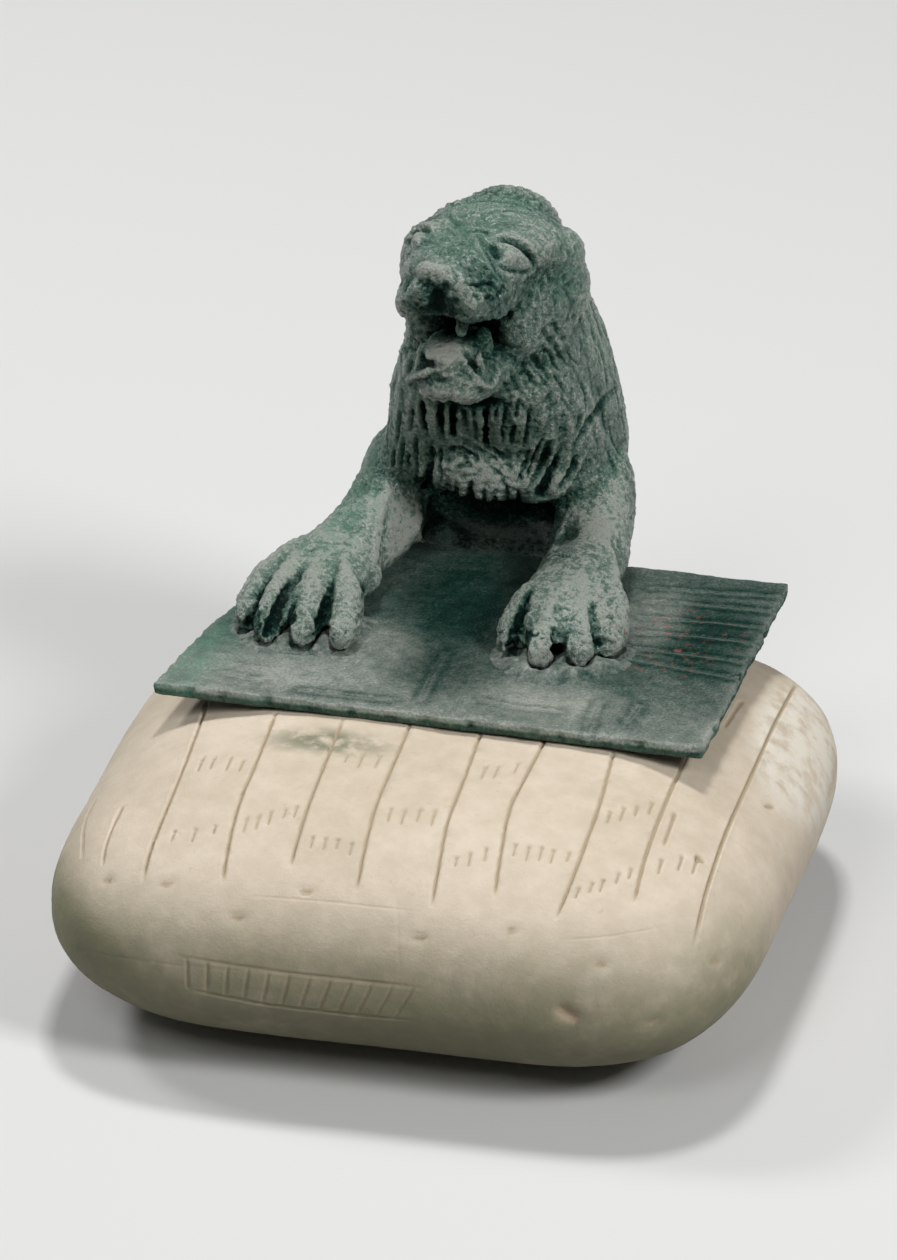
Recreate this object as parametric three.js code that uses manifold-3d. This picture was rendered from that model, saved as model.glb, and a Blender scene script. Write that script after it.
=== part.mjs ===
// Lion foundation peg: a cast lion forepart whose body runs down into a peg, its paws on a thin
// ruled plate that lies on a pillow-shaped stone tablet. Millimetres, +Z up, the lion faces -Y.
import * as THREE from 'three';
import { mergeVertices } from 'three/addons/utils/BufferGeometryUtils.js';
import Module from 'manifold-3d';

const wasm = await Module();
wasm.setup();

// Stone tablet
const tabletWidth = 109;
const tabletDepth = 109;
const tabletThickness = 38;
const crownRound = 35;            // how far in from the edge the top stays curved
const baseRound = 30;             // the same at the underside
const tabletCornerPower = 4.8;    // 2 is an ellipse in plan, higher is squarer

// Ruled plate
const plateWidth = 85;
const plateDepth = 58;
const plateThickness = 2.2;
const plateCentreX = -2.2;
const plateTurn = THREE.MathUtils.degToRad(-1.7);
const plateLostCorner = 6;        // metal missing along the left edge, towards the back

// Lion. Its own zero is at the level of its soles, midway between the elbows.
const lionX = -4.6;
const headTurn = -8;              // degrees, towards the lion's right
const headPivotY = -6;
const mouthGape = 9.6;            // between the lips at the front
const noseY = -27;
const crestHeight = 60.6;
const pegFrontY = 5.4;
const pegDepth = 17.2;
const pegTipRadius = 4.6;
const pawHeight = 9;
const forelegHeight = 10.6;
const forelegHalfWidth = 6.3;
const wristY = -18;
const pawMiddleY = -28;
const pawHalfWidth = 9.6;         // across the spread toes
const pawHalfLength = 13;
const elbowHalfSpread = 16.2;
const ruffLow = 13.6;
const ruffLocks = 13;
const plateBackY = 2;             // the plate's back edge, in front of the peg

// Clearances and the metal that joins the paws to the plate
const seatGap = 0.3;
const pegGap = 0.9;               // between the peg and the tablet's back
const joinHeight = 1.6;
const joinMargin = 3.2;
const sliverLimit = 0.02;         // slivers that a cut leaves are closed up to this size

const plateLow = tabletThickness + seatGap;
const deck = plateLow + plateThickness;
const pawLow = deck + seatGap;
const lionY = tabletDepth / 2 + pegGap - pegFrontY;

const finish = (color, roughness, metalness) =>
  new THREE.MeshStandardMaterial({ color, roughness, metalness });

// Closed skin over a list of rings with equal point counts, each end closed by a fan
function skin(rings) {
  const count = rings[0].length;
  const points = rings.flat();
  const index = [];
  for (let r = 0; r + 1 < rings.length; r += 1) {
    for (let i = 0; i < count; i += 1) {
      const a = r * count + i;
      const b = r * count + ((i + 1) % count);
      index.push(a, b, b + count, a, b + count, a + count);
    }
  }
  for (const [r, first] of [[0, true], [rings.length - 1, false]]) {
    const middle = new THREE.Vector3();
    rings[r].forEach((p) => middle.addScaledVector(p, 1 / count));
    const hub = points.push(middle) - 1;
    for (let i = 0; i < count; i += 1) {
      const a = r * count + i;
      const b = r * count + ((i + 1) % count);
      index.push(...(first ? [b, a, hub] : [a, b, hub]));
    }
  }
  const geometry = new THREE.BufferGeometry().setFromPoints(points);
  geometry.setIndex(index);
  return geometry;
}

// Superellipse ring: power 2 is an ellipse, higher powers are squarer
function ring(sides, power, place) {
  return Array.from({ length: sides }, (_, i) => {
    const c = Math.cos((2 * Math.PI * i) / sides);
    const s = Math.sin((2 * Math.PI * i) / sides);
    const r = (Math.abs(c) ** power + Math.abs(s) ** power) ** (-1 / power);
    return place(r * c, r * s);
  });
}

// Upright form: stations are [z, x, y, half width, half depth], from the bottom up
function column(stations, sides = 28, power = 2.2) {
  return skin(stations.map(([z, x, y, w, d]) =>
    ring(sides, power, (c, s) => new THREE.Vector3(x + w * c, y + d * s, z))));
}

// Form that runs back along Y: stations are [y, x, half width, low z, high z], front first
function lyingForm(stations, sides = 18, power = 2.3) {
  return skin(stations.map(([y, x, w, low, high]) => ring(sides, power, (c, s) =>
    new THREE.Vector3(x + w * c, y, (low + high) / 2 + ((high - low) / 2) * s))));
}

// Limb along a path: stations are [x, y, z, half width, half height]
function limb(stations, sides = 10) {
  const path = stations.map(([x, y, z]) => new THREE.Vector3(x, y, z));
  return skin(stations.map(([, , , w, h], i) => {
    const ahead = path[Math.min(i + 1, path.length - 1)].clone();
    const along = ahead.sub(path[Math.max(i - 1, 0)]).normalize();
    const across = Math.abs(along.x) < 0.7 ? new THREE.Vector3(1, 0, 0) : new THREE.Vector3(0, 1, 0);
    const side = across.addScaledVector(along, -across.dot(along)).normalize();
    const up = new THREE.Vector3().crossVectors(side, along);
    return ring(sides, 2, (c, s) => path[i].clone()
      .addScaledVector(side, w * c).addScaledVector(up, h * s));
  }));
}

// Rounded lump at a place, with its three radii
function lump(x, y, z, rx, ry, rz, sides = 16) {
  return new THREE.SphereGeometry(1, sides, Math.round(sides * 0.6))
    .scale(rx, ry, rz).translate(x, y, z);
}

// Closed mesh as a solid, whichever way round its faces were laid
function solid(geometry) {
  const bare = geometry.clone();
  bare.deleteAttribute('normal');
  bare.deleteAttribute('uv');
  const merged = mergeVertices(bare, 1e-5);
  const vertProperties = Float32Array.from(merged.attributes.position.array);
  const build = (triVerts) => new wasm.Manifold(new wasm.Mesh({ numProp: 3, vertProperties, triVerts }));
  const triVerts = Uint32Array.from(merged.index.array);
  const first = build(triVerts);
  return first.volume() > 0 ? first : build(triVerts.reverse());
}

const join = (geometries) => geometries.map(solid).reduce((all, next) => all.add(next));

// Keeps the outer body and fills the small voids that overlapping forms leave inside it
const filled = (manifold) => manifold.decompose()
  .reduce((most, next) => (next.volume() > most.volume() ? next : most));

function shape(manifold) {
  const mesh = filled(manifold.simplify(sliverLimit)).getMesh();
  const geometry = new THREE.BufferGeometry();
  geometry.setAttribute('position', new THREE.BufferAttribute(mesh.vertProperties, 3));
  geometry.setIndex(new THREE.BufferAttribute(mesh.triVerts, 1));
  geometry.computeVertexNormals();
  return geometry;
}

// Stone tablet: a squarish pillow, flat where it stands and flat on its crown
function tablet() {
  const sides = 64;
  const steps = 8;
  const half = tabletThickness / 2;
  const level = (z, inset) => ring(sides, tabletCornerPower, (c, s) =>
    new THREE.Vector3((tabletWidth / 2 - inset) * c, (tabletDepth / 2 - inset) * s, z));
  const quarter = (i) => (i / steps) * (Math.PI / 2);
  const rings = [];
  for (let i = 0; i <= steps; i += 1) {
    rings.push(level(half * (1 - Math.cos(quarter(i))), baseRound * (1 - Math.sin(quarter(i)))));
  }
  for (let i = 1; i <= steps; i += 1) {
    rings.push(level(half * (1 + Math.sin(quarter(i))), crownRound * (1 - Math.cos(quarter(i)))));
  }
  return solid(skin(rings));
}

// Ruled plate: thin, turned a little, its left edge worn away towards the back
function plate() {
  const w = plateWidth / 2;
  const lost = plateLostCorner;
  const outline = new THREE.Shape([
    [-w, 0], [w, 0], [w, plateDepth], [-w + lost * 1.6, plateDepth],
    [-w + lost, plateDepth * 0.62], [-w + lost * 0.4, plateDepth * 0.36],
  ].map(([x, y]) => new THREE.Vector2(x, y)));
  const slab = new THREE.ExtrudeGeometry(outline, { depth: plateThickness, bevelEnabled: false });
  const front = lionY + plateBackY - plateDepth;
  return solid(slab.rotateZ(plateTurn).translate(plateCentreX, front, plateLow));
}

// Toes, outer to inner: across from the paw's middle, and how far forward each reaches
const leftPaw = {
  x: -22.8, out: -1, toes: [[7.8, -35.9], [4.1, -39.4], [-1.7, -39.6], [-7.7, -39.3]], thumb: true,
};
const rightPaw = {
  x: 17.6, out: 1, toes: [[7.4, -32.6], [3.6, -36.6], [-2, -38.6], [-7.4, -35.4]], thumb: false,
};

function pawForms({ x, out, toes, thumb }, grow = 0) {
  const low = -grow;
  const toElbow = out * elbowHalfSpread - x;
  const wristX = x + toElbow * 0.35;
  const forms = [lyingForm([
    [-33, x, 5.5 + grow, low, grow + 5], [-30, x, 8 + grow, low, grow + pawHeight * 0.8],
    [-25, x + toElbow * 0.1, 8.2 + grow, low, grow + pawHeight],
    [wristY, wristX, forelegHalfWidth + grow, low, grow + forelegHeight],
    [wristY + 3, wristX, forelegHalfWidth - 0.8 + grow, low, grow + forelegHeight - 1],
  ])];
  for (const [across, tip] of toes) {
    const toeX = x + out * across;
    forms.push(lyingForm([
      [tip - grow, toeX, 0.9 + grow, low, grow + 2.2], [tip + 1, toeX, 2 + grow, low, grow + 4],
      [tip + 4, toeX, 2.6 + grow, low, grow + 5.8],
      [tip + 9, x + out * across * 0.88, 2.7 + grow, low, grow + 8],
      [tip + 14, x + out * across * 0.6, 2.1 + grow, low, grow + 9.4],
      [tip + 18, x + out * across * 0.4, 1.2 + grow, low + 2, grow + 9.2],
    ], 10));
  }
  if (thumb) {
    forms.push(limb([
      [x - out * 8.6, -23.4, low + 2.6, 0.9, 0.9], [x - out * 8.6, -21.6, low + 4, 1.8, 1.8],
      [x - out * 6.6, -17, low + 6, 2.2, 2.2],
    ], 8));
  }
  return forms;
}

// Foreleg: the forearm lies on the plate, and the upper arm rises steeply beside the chest
function foreleg({ x, out }) {
  const elbowX = out * elbowHalfSpread;
  const along = (share) => x + (elbowX - x) * share;
  const forearm = lyingForm([
    [-25, along(0.1), 7, 0, pawHeight - 1], [wristY, along(0.35), forelegHalfWidth, 0, forelegHeight],
    [-12, along(0.6), forelegHalfWidth, 0, forelegHeight + 0.2],
    [-6, along(0.8), forelegHalfWidth, 0, forelegHeight + 1],
    [-1, along(1), forelegHalfWidth - 0.3, 0, forelegHeight + 5],
    [4, along(1), forelegHalfWidth - 0.8, 1, forelegHeight + 8],
    [9, along(1), 4, 5, forelegHeight + 6],
  ], 20);
  const upperArm = column([
    [4, elbowX - out * 1.4, 2.6, 4.5, 4], [forelegHeight, elbowX - out * 2.2, 2.6, 5.6, 6.6],
    [forelegHeight + 5, elbowX - out * 3.3, 3.4, 5.8, 8],
    [forelegHeight + 10, elbowX - out * 4.5, 5, 5.6, 9],
    [forelegHeight + 17, elbowX - out * 6, 6.5, 4.6, 8.4],
    [forelegHeight + 23, elbowX - out * 8, 7, 2.8, 5],
  ], 16);
  return join([forearm, upperArm]);
}

// Body: chest, neck and mane over the plate, and the peg that runs down behind the tablet
function body() {
  const pegY = pegFrontY + pegDepth / 2;
  const chest = column([
    [0, 0, 14.6, 16, 9.8], [3.4, 0, 13.2, 16.8, 11.4], [6.6, 0, 11.6, 17.4, 14], [10, 0, 11.4, 18, 14.8],
    [15.5, 0.2, 11.3, 18.4, 15],
    [25.5, 0.5, 9.3, 16.8, 15.4], [34.5, 0.6, 7, 14.9, 14.8], [43.5, 0.5, 4.6, 12, 13.4],
    [50, 0.4, 4, 10.2, 11], [56, 0.4, 3.4, 8, 8], [crestHeight - 2.4, 0.4, 3, 4, 4],
  ]);
  const tip = pegTipRadius;
  const peg = column([
    [-pawLow, 0, pegY - 2, tip, tip], [3 - pawLow, 0, pegY - 2, tip + 0.6, tip + 0.4],
    [-pawLow * 0.7, 0, pegY - 1, tip + 2.4, pegDepth * 0.35],
    [-pawLow * 0.38, 0, pegY - 0.3, tip + 5, pegDepth * 0.45], [-4.8, 0, pegY, 12.4, pegDepth / 2],
    [1, 0, pegY, 13.6, pegDepth / 2 + 0.4], [9, 0, 13, 15, 10],
  ], 24);
  return join([chest, peg]);
}

// Chest ruff: hangs from the jaw in front of the chest, and ends in separate locks
function ruff() {
  const levels = [
    [ruffLow + 1, 4, 16, 9.8], [ruffLow + 4.6, 3.4, 16.6, 11.4], [24, 2, 16.2, 13],
    [30, 0.4, 15.2, 14.2], [35, -1, 14, 14.6], [41, 0, 12.6, 12.4], [47, 2, 11, 9],
  ];
  const power = 2.7;
  const backing = column(levels.map(([z, y, w, d]) => [z, 0, y, w, d]), 28, power);
  const locks = Array.from({ length: ruffLocks }, (_, i) => {
    const angle = THREE.MathUtils.degToRad(-168 + (156 * i) / (ruffLocks - 1));
    const c = Math.cos(angle);
    const s = Math.sin(angle);
    const r = (Math.abs(c) ** power + Math.abs(s) ** power) ** (-1 / power);
    const hang = ([z, y, w, d], lift, radius) => [
      (w - 0.6) * r * c, y + (d - 0.6) * r * s, z + lift, radius, radius];
    const drop = Math.cos(i * 2.4);
    return limb([
      hang(levels[0], drop - 2.8, 0.7), hang(levels[0], drop - 0.6, 1.4),
      hang(levels[1], 2, 1.6), hang(levels[3], 0, 1.4), hang(levels[4], -1, 0.6),
    ], 6);
  });
  return join([backing, ...locks]);
}

// Head, thrown back and roaring; laid out square on and then turned
function head() {
  const lipLow = 51.2;
  const jawRim = lipLow - mouthGape;
  const ears = [[-10.2, 51], [12.2, 53.4]];   // across, and height
  const both = (place) => [-1, 1].flatMap(place);
  const upper = join([
    lump(0, -3.6, 51.6, 12.2, 10.6, 9.4, 24),
    lump(0.2, 2.4, crestHeight - 6.2, 8.2, 7.4, 6.2, 20),
    lyingForm([
      [noseY - 0.6, 0, 3.4, 55, 58.8], [noseY + 0.6, 0, 5.4, 52.6, 59.9],
      [noseY + 4, 0, 7.4, 50.8, 60], [noseY + 8, 0, 8.3, 48.8, 59.4],
      [noseY + 12, 0, 9, 46.6, 59], [noseY + 16, 0, 9.6, 44.6, 59.8],
      [noseY + 21, 0, 10.2, 43.2, 61], [noseY + 27, 0, 9, 43, 60],
    ], 20, 2.5),
    limb([[0, noseY - 1.4, 58.6, 1.8, 1], [0, noseY - 0.2, 58.8, 3.2, 1.7],
      [0, noseY + 3, 59.4, 2.6, 1.4]], 12),
    ...both((side) => [
      lump(side * 3.8, noseY + 2.6, 53.6, 3.6, 3.6, 3.4, 14),
      lump(side * 5.8, noseY + 7, 51, 3, 5, 3.8, 14),
      lump(side * 7.4, -7.6, 46, 4.8, 7.4, 9, 16),
      lump(side * 6.4, -13.4, 57, 3.6, 2.6, 2, 12), lump(side * 6, -11.8, 58.6, 4, 3.2, 1.6, 14),
      lump(side * 9.6, -0.8, 47, 5, 6.4, 7.4, 16),
    ]),
    ...ears.flatMap(([x, z]) => [
      lump(x, -1.6, z, 2.5, 3, 4.2, 12), lump(x * 0.74, -2.6, z + 0.6, 5, 5.4, 4, 16)]),
  ]);
  const lower = solid(lyingForm([
    [noseY + 1.8, 0, 2.6, jawRim - 3.6, jawRim - 0.6], [noseY + 3, 0, 4.8, jawRim - 5.6, jawRim + 0.4],
    [noseY + 6, 0, 6, jawRim - 7, jawRim + 0.6], [noseY + 11, 0, 7, jawRim - 7.4, jawRim + 0.8],
    [noseY + 17, 0, 8.6, jawRim - 8, jawRim + 2], [noseY + 24, 0, 9.6, jawRim - 8, jawRim + 4],
  ], 20, 2.4));
  const mouth = join([
    lyingForm([
      [noseY - 6, 0, 5, jawRim + 0.4, lipLow + 1], [noseY + 3, 0, 5.4, jawRim - 0.6, lipLow + 1.2],
      [noseY + 10, 0, 6.2, jawRim - 0.4, lipLow - 0.6], [noseY + 14, 0, 4, jawRim + 1.6, lipLow - 3.4],
    ], 16),
    limb([
      [-14, noseY + 6, 46.4, 3, 3.2], [0, noseY + 7, 46.2, 3.4, 3.4], [14, noseY + 6, 46.4, 3, 3.2],
    ], 12),
  ]);
  const tooth = (x, y, from, to) => limb([
    [x, y, from, 1.2, 1.2], [x, y - 0.4, (from + to) / 2, 0.9, 0.9], [x, y - 0.2, to, 0.3, 0.3]], 6);
  const inside = join([
    lyingForm([
      [noseY + 2.8, 0, 1.4, jawRim, jawRim + 1.4], [noseY + 4, 0, 2.8, jawRim - 1, jawRim + 2.4],
      [noseY + 8, 0, 3.6, jawRim - 1.4, jawRim + 3], [noseY + 15, 0, 3.6, jawRim - 1.4, jawRim + 2.6],
    ], 12),
    ...both((side) => [
      tooth(side * 4.2, noseY + 3.4, lipLow + 1, lipLow - 3.8),
      tooth(side * 4.8, noseY + 6, jawRim - 1, jawRim + 3.8),
    ]),
  ]);
  return upper.add(lower).subtract(mouth).add(inside)
    .translate([0, -headPivotY, 0]).rotate([0, 0, headTurn]).translate([0, headPivotY, 0]);
}

function lion() {
  return [
    body(), ruff(), head(), foreleg(leftPaw), foreleg(rightPaw),
    join(pawForms(leftPaw)), join(pawForms(rightPaw)),
  ].reduce((all, next) => all.add(next)).translate([lionX, lionY, pawLow]);
}

// Low mound of joining metal round one paw, flat on the plate
function pawJoin(paw) {
  const across = pawHalfWidth + joinMargin;
  const along = pawHalfLength + joinMargin;
  const room = 3 * along;
  const mound = lump(paw.x, pawMiddleY, -seatGap, across, along, joinHeight, 32);
  const above = new THREE.BoxGeometry(room, room, room).translate(paw.x, pawMiddleY, room / 2 - seatGap);
  const behind = new THREE.BoxGeometry(room, room, room).translate(paw.x, wristY - 1 + room / 2, 0);
  return solid(mound).intersect(solid(above))
    .subtract(join(pawForms(paw, seatGap))).subtract(solid(behind))
    .translate([lionX, lionY, pawLow]);
}

const parts = {
  stone_tablet: [tablet(), finish(0xcfc4ae, 0.8, 0)],
  inscribed_plate: [plate(), finish(0x59665c, 0.6, 0.6)],
  lion_casting: [lion(), finish(0x4b5a50, 0.55, 0.6)],
  left_paw_join: [pawJoin(leftPaw), finish(0x5d675c, 0.75, 0.4)],
  right_paw_join: [pawJoin(rightPaw), finish(0x5d675c, 0.75, 0.4)],
};

const part = new THREE.Group();
for (const [name, [manifold, material]] of Object.entries(parts)) {
  const mesh = new THREE.Mesh(shape(manifold), material);
  mesh.name = name;
  part.add(mesh);
}

export default part;
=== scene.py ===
import math
import bpy
import numpy as np
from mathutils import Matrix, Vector, noise
from mathutils.bvhtree import BVHTree
from mathutils.kdtree import KDTree


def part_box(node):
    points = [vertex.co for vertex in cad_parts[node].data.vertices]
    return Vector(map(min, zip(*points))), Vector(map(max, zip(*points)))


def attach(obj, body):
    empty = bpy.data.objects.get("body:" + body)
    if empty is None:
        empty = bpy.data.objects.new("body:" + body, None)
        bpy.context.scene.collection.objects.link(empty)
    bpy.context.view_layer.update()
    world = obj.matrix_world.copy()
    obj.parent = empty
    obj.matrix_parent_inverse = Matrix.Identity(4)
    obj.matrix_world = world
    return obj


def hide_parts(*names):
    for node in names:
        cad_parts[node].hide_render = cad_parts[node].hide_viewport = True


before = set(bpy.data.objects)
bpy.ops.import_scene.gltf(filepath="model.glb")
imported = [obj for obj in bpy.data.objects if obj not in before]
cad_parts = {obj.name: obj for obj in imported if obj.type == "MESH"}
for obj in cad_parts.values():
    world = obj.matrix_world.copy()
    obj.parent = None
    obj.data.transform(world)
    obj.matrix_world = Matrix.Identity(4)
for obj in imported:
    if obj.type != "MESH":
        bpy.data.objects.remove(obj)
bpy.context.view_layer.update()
bpy.ops.object.select_all(action="DESELECT")

mm = 0.001

cameraValues = {
    "place": (0.24284, -1.03535, 0.57496),
    "aim": (-0.00328, 0.01333, 0.04526),
    "lens": 226.8,
    "sensor": 36,
    "frame": (897, 1260),     # pixels of the photograph's view
}


def addCamera(values):
    data = bpy.data.cameras.new("viewCamera")
    data.lens = values["lens"]
    data.sensor_width = values["sensor"]
    data.clip_end = 20
    camera = bpy.data.objects.new("viewCamera", data)
    camera.location = values["place"]
    toAim = Vector(values["aim"]) - Vector(values["place"])
    camera.rotation_euler = toAim.to_track_quat("-Z", "Y").to_euler()
    bpy.context.scene.collection.objects.link(camera)
    bpy.context.scene.camera = camera
    print("camera placed")


# Line of sight through a pixel of the photograph's view
def sightLine(u, v):
    values = cameraValues
    wide, high = values["frame"]
    perPixel = values["sensor"] / high / values["lens"]
    place = Vector(values["place"])
    turn = (Vector(values["aim"]) - place).to_track_quat("-Z", "Y")
    direction = turn @ Vector(((u - wide / 2) * perPixel, (high / 2 - v) * perPixel, -1))
    return place, direction.normalized()


def select(obj):
    bpy.ops.object.select_all(action="DESELECT")
    obj.select_set(True)
    bpy.context.view_layer.objects.active = obj


def copyNode(node, name):
    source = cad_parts[node]
    obj = bpy.data.objects.new(name, source.data.copy())
    obj.data.name = name
    bpy.context.scene.collection.objects.link(obj)
    select(obj)
    bpy.ops.object.mode_set(mode="EDIT")
    bpy.ops.mesh.select_all(action="SELECT")
    bpy.ops.mesh.remove_doubles(threshold=0.00001)
    bpy.ops.object.mode_set(mode="OBJECT")
    return obj


def addLump(place, radii, turn=(0, 0, 0)):
    bpy.ops.mesh.primitive_uv_sphere_add(
        segments=32, ring_count=16, radius=mm,
        location=[c * mm for c in place], rotation=[math.radians(a) for a in turn])
    lump = bpy.context.active_object
    lump.scale = radii
    bpy.ops.object.transform_apply(location=True, rotation=True, scale=True)
    return lump


def unite(obj, pieces):
    bpy.ops.object.select_all(action="DESELECT")
    for piece in pieces:
        piece.select_set(True)
    obj.select_set(True)
    bpy.context.view_layer.objects.active = obj
    bpy.ops.object.join()


def applyModifier(obj, kind, **values):
    select(obj)
    modifier = obj.modifiers.new(kind.title(), kind)
    for key, value in values.items():
        setattr(modifier, key, value)
    bpy.ops.object.modifier_apply(modifier=modifier.name)


def remesh(obj, voxel):
    applyModifier(obj, "REMESH", mode="VOXEL", voxel_size=voxel * mm, adaptivity=0)


def takeClay(obj):
    mesh = obj.data
    count = len(mesh.vertices)
    co = np.empty(count * 3)
    mesh.vertices.foreach_get("co", co)
    edges = np.empty(len(mesh.edges) * 2, dtype=np.int64)
    mesh.edges.foreach_get("vertices", edges)
    edges = edges.reshape(-1, 2)
    clay = {"obj": obj, "co": co.reshape(-1, 3), "edges": edges,
            "links": np.bincount(edges.ravel(), minlength=count)[:, None]}
    press(clay)
    return clay


# Write the moved points back and read the normals again
def press(clay):
    clay["tree"] = None
    mesh = clay["obj"].data
    mesh.vertices.foreach_set("co", clay["co"].ravel())
    mesh.update()
    normals = np.empty(len(mesh.vertices) * 3)
    mesh.vertex_normals.foreach_get("vector", normals)
    clay["no"] = normals.reshape(-1, 3)


def treeOf(clay):
    if clay["tree"] is None:
        polygons = [tuple(p.vertices) for p in clay["obj"].data.polygons]
        clay["tree"] = BVHTree.FromPolygons(clay["co"].tolist(), polygons)
    return clay["tree"]


def spread(clay, values):
    edges = clay["edges"]
    total = np.zeros_like(values)
    for axis in range(values.shape[1]):
        total[:, axis] = (
            np.bincount(edges[:, 0], weights=values[edges[:, 1], axis], minlength=len(values))
            + np.bincount(edges[:, 1], weights=values[edges[:, 0], axis], minlength=len(values)))
    return total / clay["links"]


def smooth(clay, times, share=0.5, weight=None):
    for _ in range(times):
        step = (spread(clay, clay["co"]) - clay["co"]) * share
        if weight is not None:
            step *= weight[:, None]
        clay["co"] = clay["co"] + step


# 0 at start and beyond, 1 at end
def fade(value, start, end):
    return np.clip((value - start) / (end - start), 0, 1)


# Point on the line of sight of a pixel, at a given y in mm
def atDepth(u, v, y):
    place, direction = sightLine(u, v)
    return (place + direction * ((y * mm - place.y) / direction.y)) / mm


# Smooth curve through the points of a line
def eased(line, steps=5):
    if len(line) < 3:
        return line
    ends = [line[0], *line, line[-1]]
    curve = []
    for a, b, c, d in zip(ends, ends[1:], ends[2:], ends[3:]):
        for i in range(steps):
            t = i / steps
            curve.append(tuple(
                0.5 * (2 * q + (r - p) * t + (2 * p - 5 * q + 4 * r - w) * t ** 2
                       + (3 * q - p - 3 * r + w) * t ** 3)
                for p, q, r, w in zip(a, b, c, d)))
    return [*curve, line[-1]]


# Points on the clay under a line drawn over the photograph's view
def seen(clay, line, step=3.0):
    points = []
    tree = treeOf(clay)
    line = eased(line)
    for (u0, v0), (u1, v1) in zip(line, line[1:]):
        count = max(1, round(math.hypot(u1 - u0, v1 - v0) / step))
        for i in range(count + 1):
            share = i / count
            place, direction = sightLine(u0 + (u1 - u0) * share, v0 + (v1 - v0) * share)
            hit = tree.ray_cast(place, direction)
            if hit[0] is not None:
                points.append((hit[0], hit[1]))
    return points


# One stroke of the modelling tool along points: depth above 0 raises, below 0 cuts
def stroke(clay, points, width, depth, rim=0.0, taper=0.25):
    if len(points) < 2:
        return
    path = np.array([p for p, _ in points])
    normals = np.array([n for _, n in points])
    margin = width * mm * (2 if rim else 1)
    co = clay["co"]
    low = path.min(axis=0) - margin
    high = path.max(axis=0) + margin
    near = np.flatnonzero(np.all((co > low) & (co < high), axis=1))
    if not len(near):
        return
    best = np.full(len(near), 1e9)
    along = np.zeros(len(near))
    facing = np.zeros((len(near), 3))
    lengths = np.r_[0, np.cumsum(np.linalg.norm(np.diff(path, axis=0), axis=1))]
    whole = max(lengths[-1], 1e-9)
    for i in range(len(path) - 1):
        a, b = path[i], path[i + 1]
        ab = b - a
        size = max(ab @ ab, 1e-18)
        t = np.clip(((co[near] - a) @ ab) / size, 0, 1)
        d = np.linalg.norm(co[near] - (a + t[:, None] * ab), axis=1)
        closer = d < best
        best[closer] = d[closer]
        along[closer] = ((lengths[i] + t * math.sqrt(size)) / whole)[closer]
        facing[closer] = normals[i]
    ends = 1.0
    if taper:
        ends = np.clip(np.minimum(along, 1 - along) / taper, 0, 1) ** 0.7
    ratio = best / (width * mm)
    amount = depth * np.clip(1 - ratio ** 2, 0, 1) ** 1.5
    if rim:
        amount = amount + rim * np.exp(-((ratio - 1.15) / 0.35) ** 2)
    sameSide = np.clip((clay["no"][near] * facing).sum(axis=1) * 2 + 0.4, 0, 1)
    clay["co"][near] += clay["no"][near] * (amount * ends * sameSide * mm)[:, None]


def roughen(clay, size, amount, octaves=3, weight=None, shift=0.0):
    offset = Vector((shift, shift, shift))
    raw = np.array([noise.fractal(Vector(p) / (size * mm) + offset, 0.8, 2.0, octaves)
                    for p in clay["co"].tolist()])
    if weight is not None:
        raw = raw * weight
    clay["co"] += clay["no"] * (raw * amount * mm)[:, None]


# Wedge-shaped cutter along surface points, its width and depth growing from start to end
def addWedge(points, widths, depths, lift=0.8):
    count = len(points)
    verts = []
    for i, (place, normal) in enumerate(points):
        ahead = points[min(i + 1, count - 1)][0] - points[max(i - 1, 0)][0]
        side = ahead.cross(normal).normalized()
        share = i / max(1, count - 1)
        w = (widths[0] + (widths[1] - widths[0]) * share) * mm
        d = (depths[0] + (depths[1] - depths[0]) * share) * mm
        wide = w * (d + lift * mm) / d
        top = place + normal * lift * mm
        verts += [top - side * wide, top + side * wide, place - normal * d]
    faces = [(0, 1, 2), (3 * count - 1, 3 * count - 2, 3 * count - 3)]
    for i in range(count - 1):
        a = 3 * i
        for j in range(3):
            k = (j + 1) % 3
            faces.append((a + j, a + 3 + j, a + 3 + k, a + k))
    mesh = bpy.data.meshes.new("wedge")
    mesh.from_pydata([tuple(v) for v in verts], [], faces)
    obj = bpy.data.objects.new("wedge", mesh)
    bpy.context.scene.collection.objects.link(obj)
    select(obj)
    bpy.ops.object.mode_set(mode="EDIT")
    bpy.ops.mesh.select_all(action="SELECT")
    bpy.ops.mesh.normals_make_consistent(inside=False)
    bpy.ops.object.mode_set(mode="OBJECT")
    return obj


def cutAll(obj, wedges):
    collection = bpy.data.collections.new("cutters")
    bpy.context.scene.collection.children.link(collection)
    for wedge in wedges:
        for holder in list(wedge.users_collection):
            holder.objects.unlink(wedge)
        collection.objects.link(wedge)
    applyModifier(obj, "BOOLEAN", operation="DIFFERENCE", operand_type="COLLECTION",
                  collection=collection, solver="MANIFOLD")
    for wedge in wedges:
        bpy.data.objects.remove(wedge)
    bpy.data.collections.remove(collection)


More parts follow.
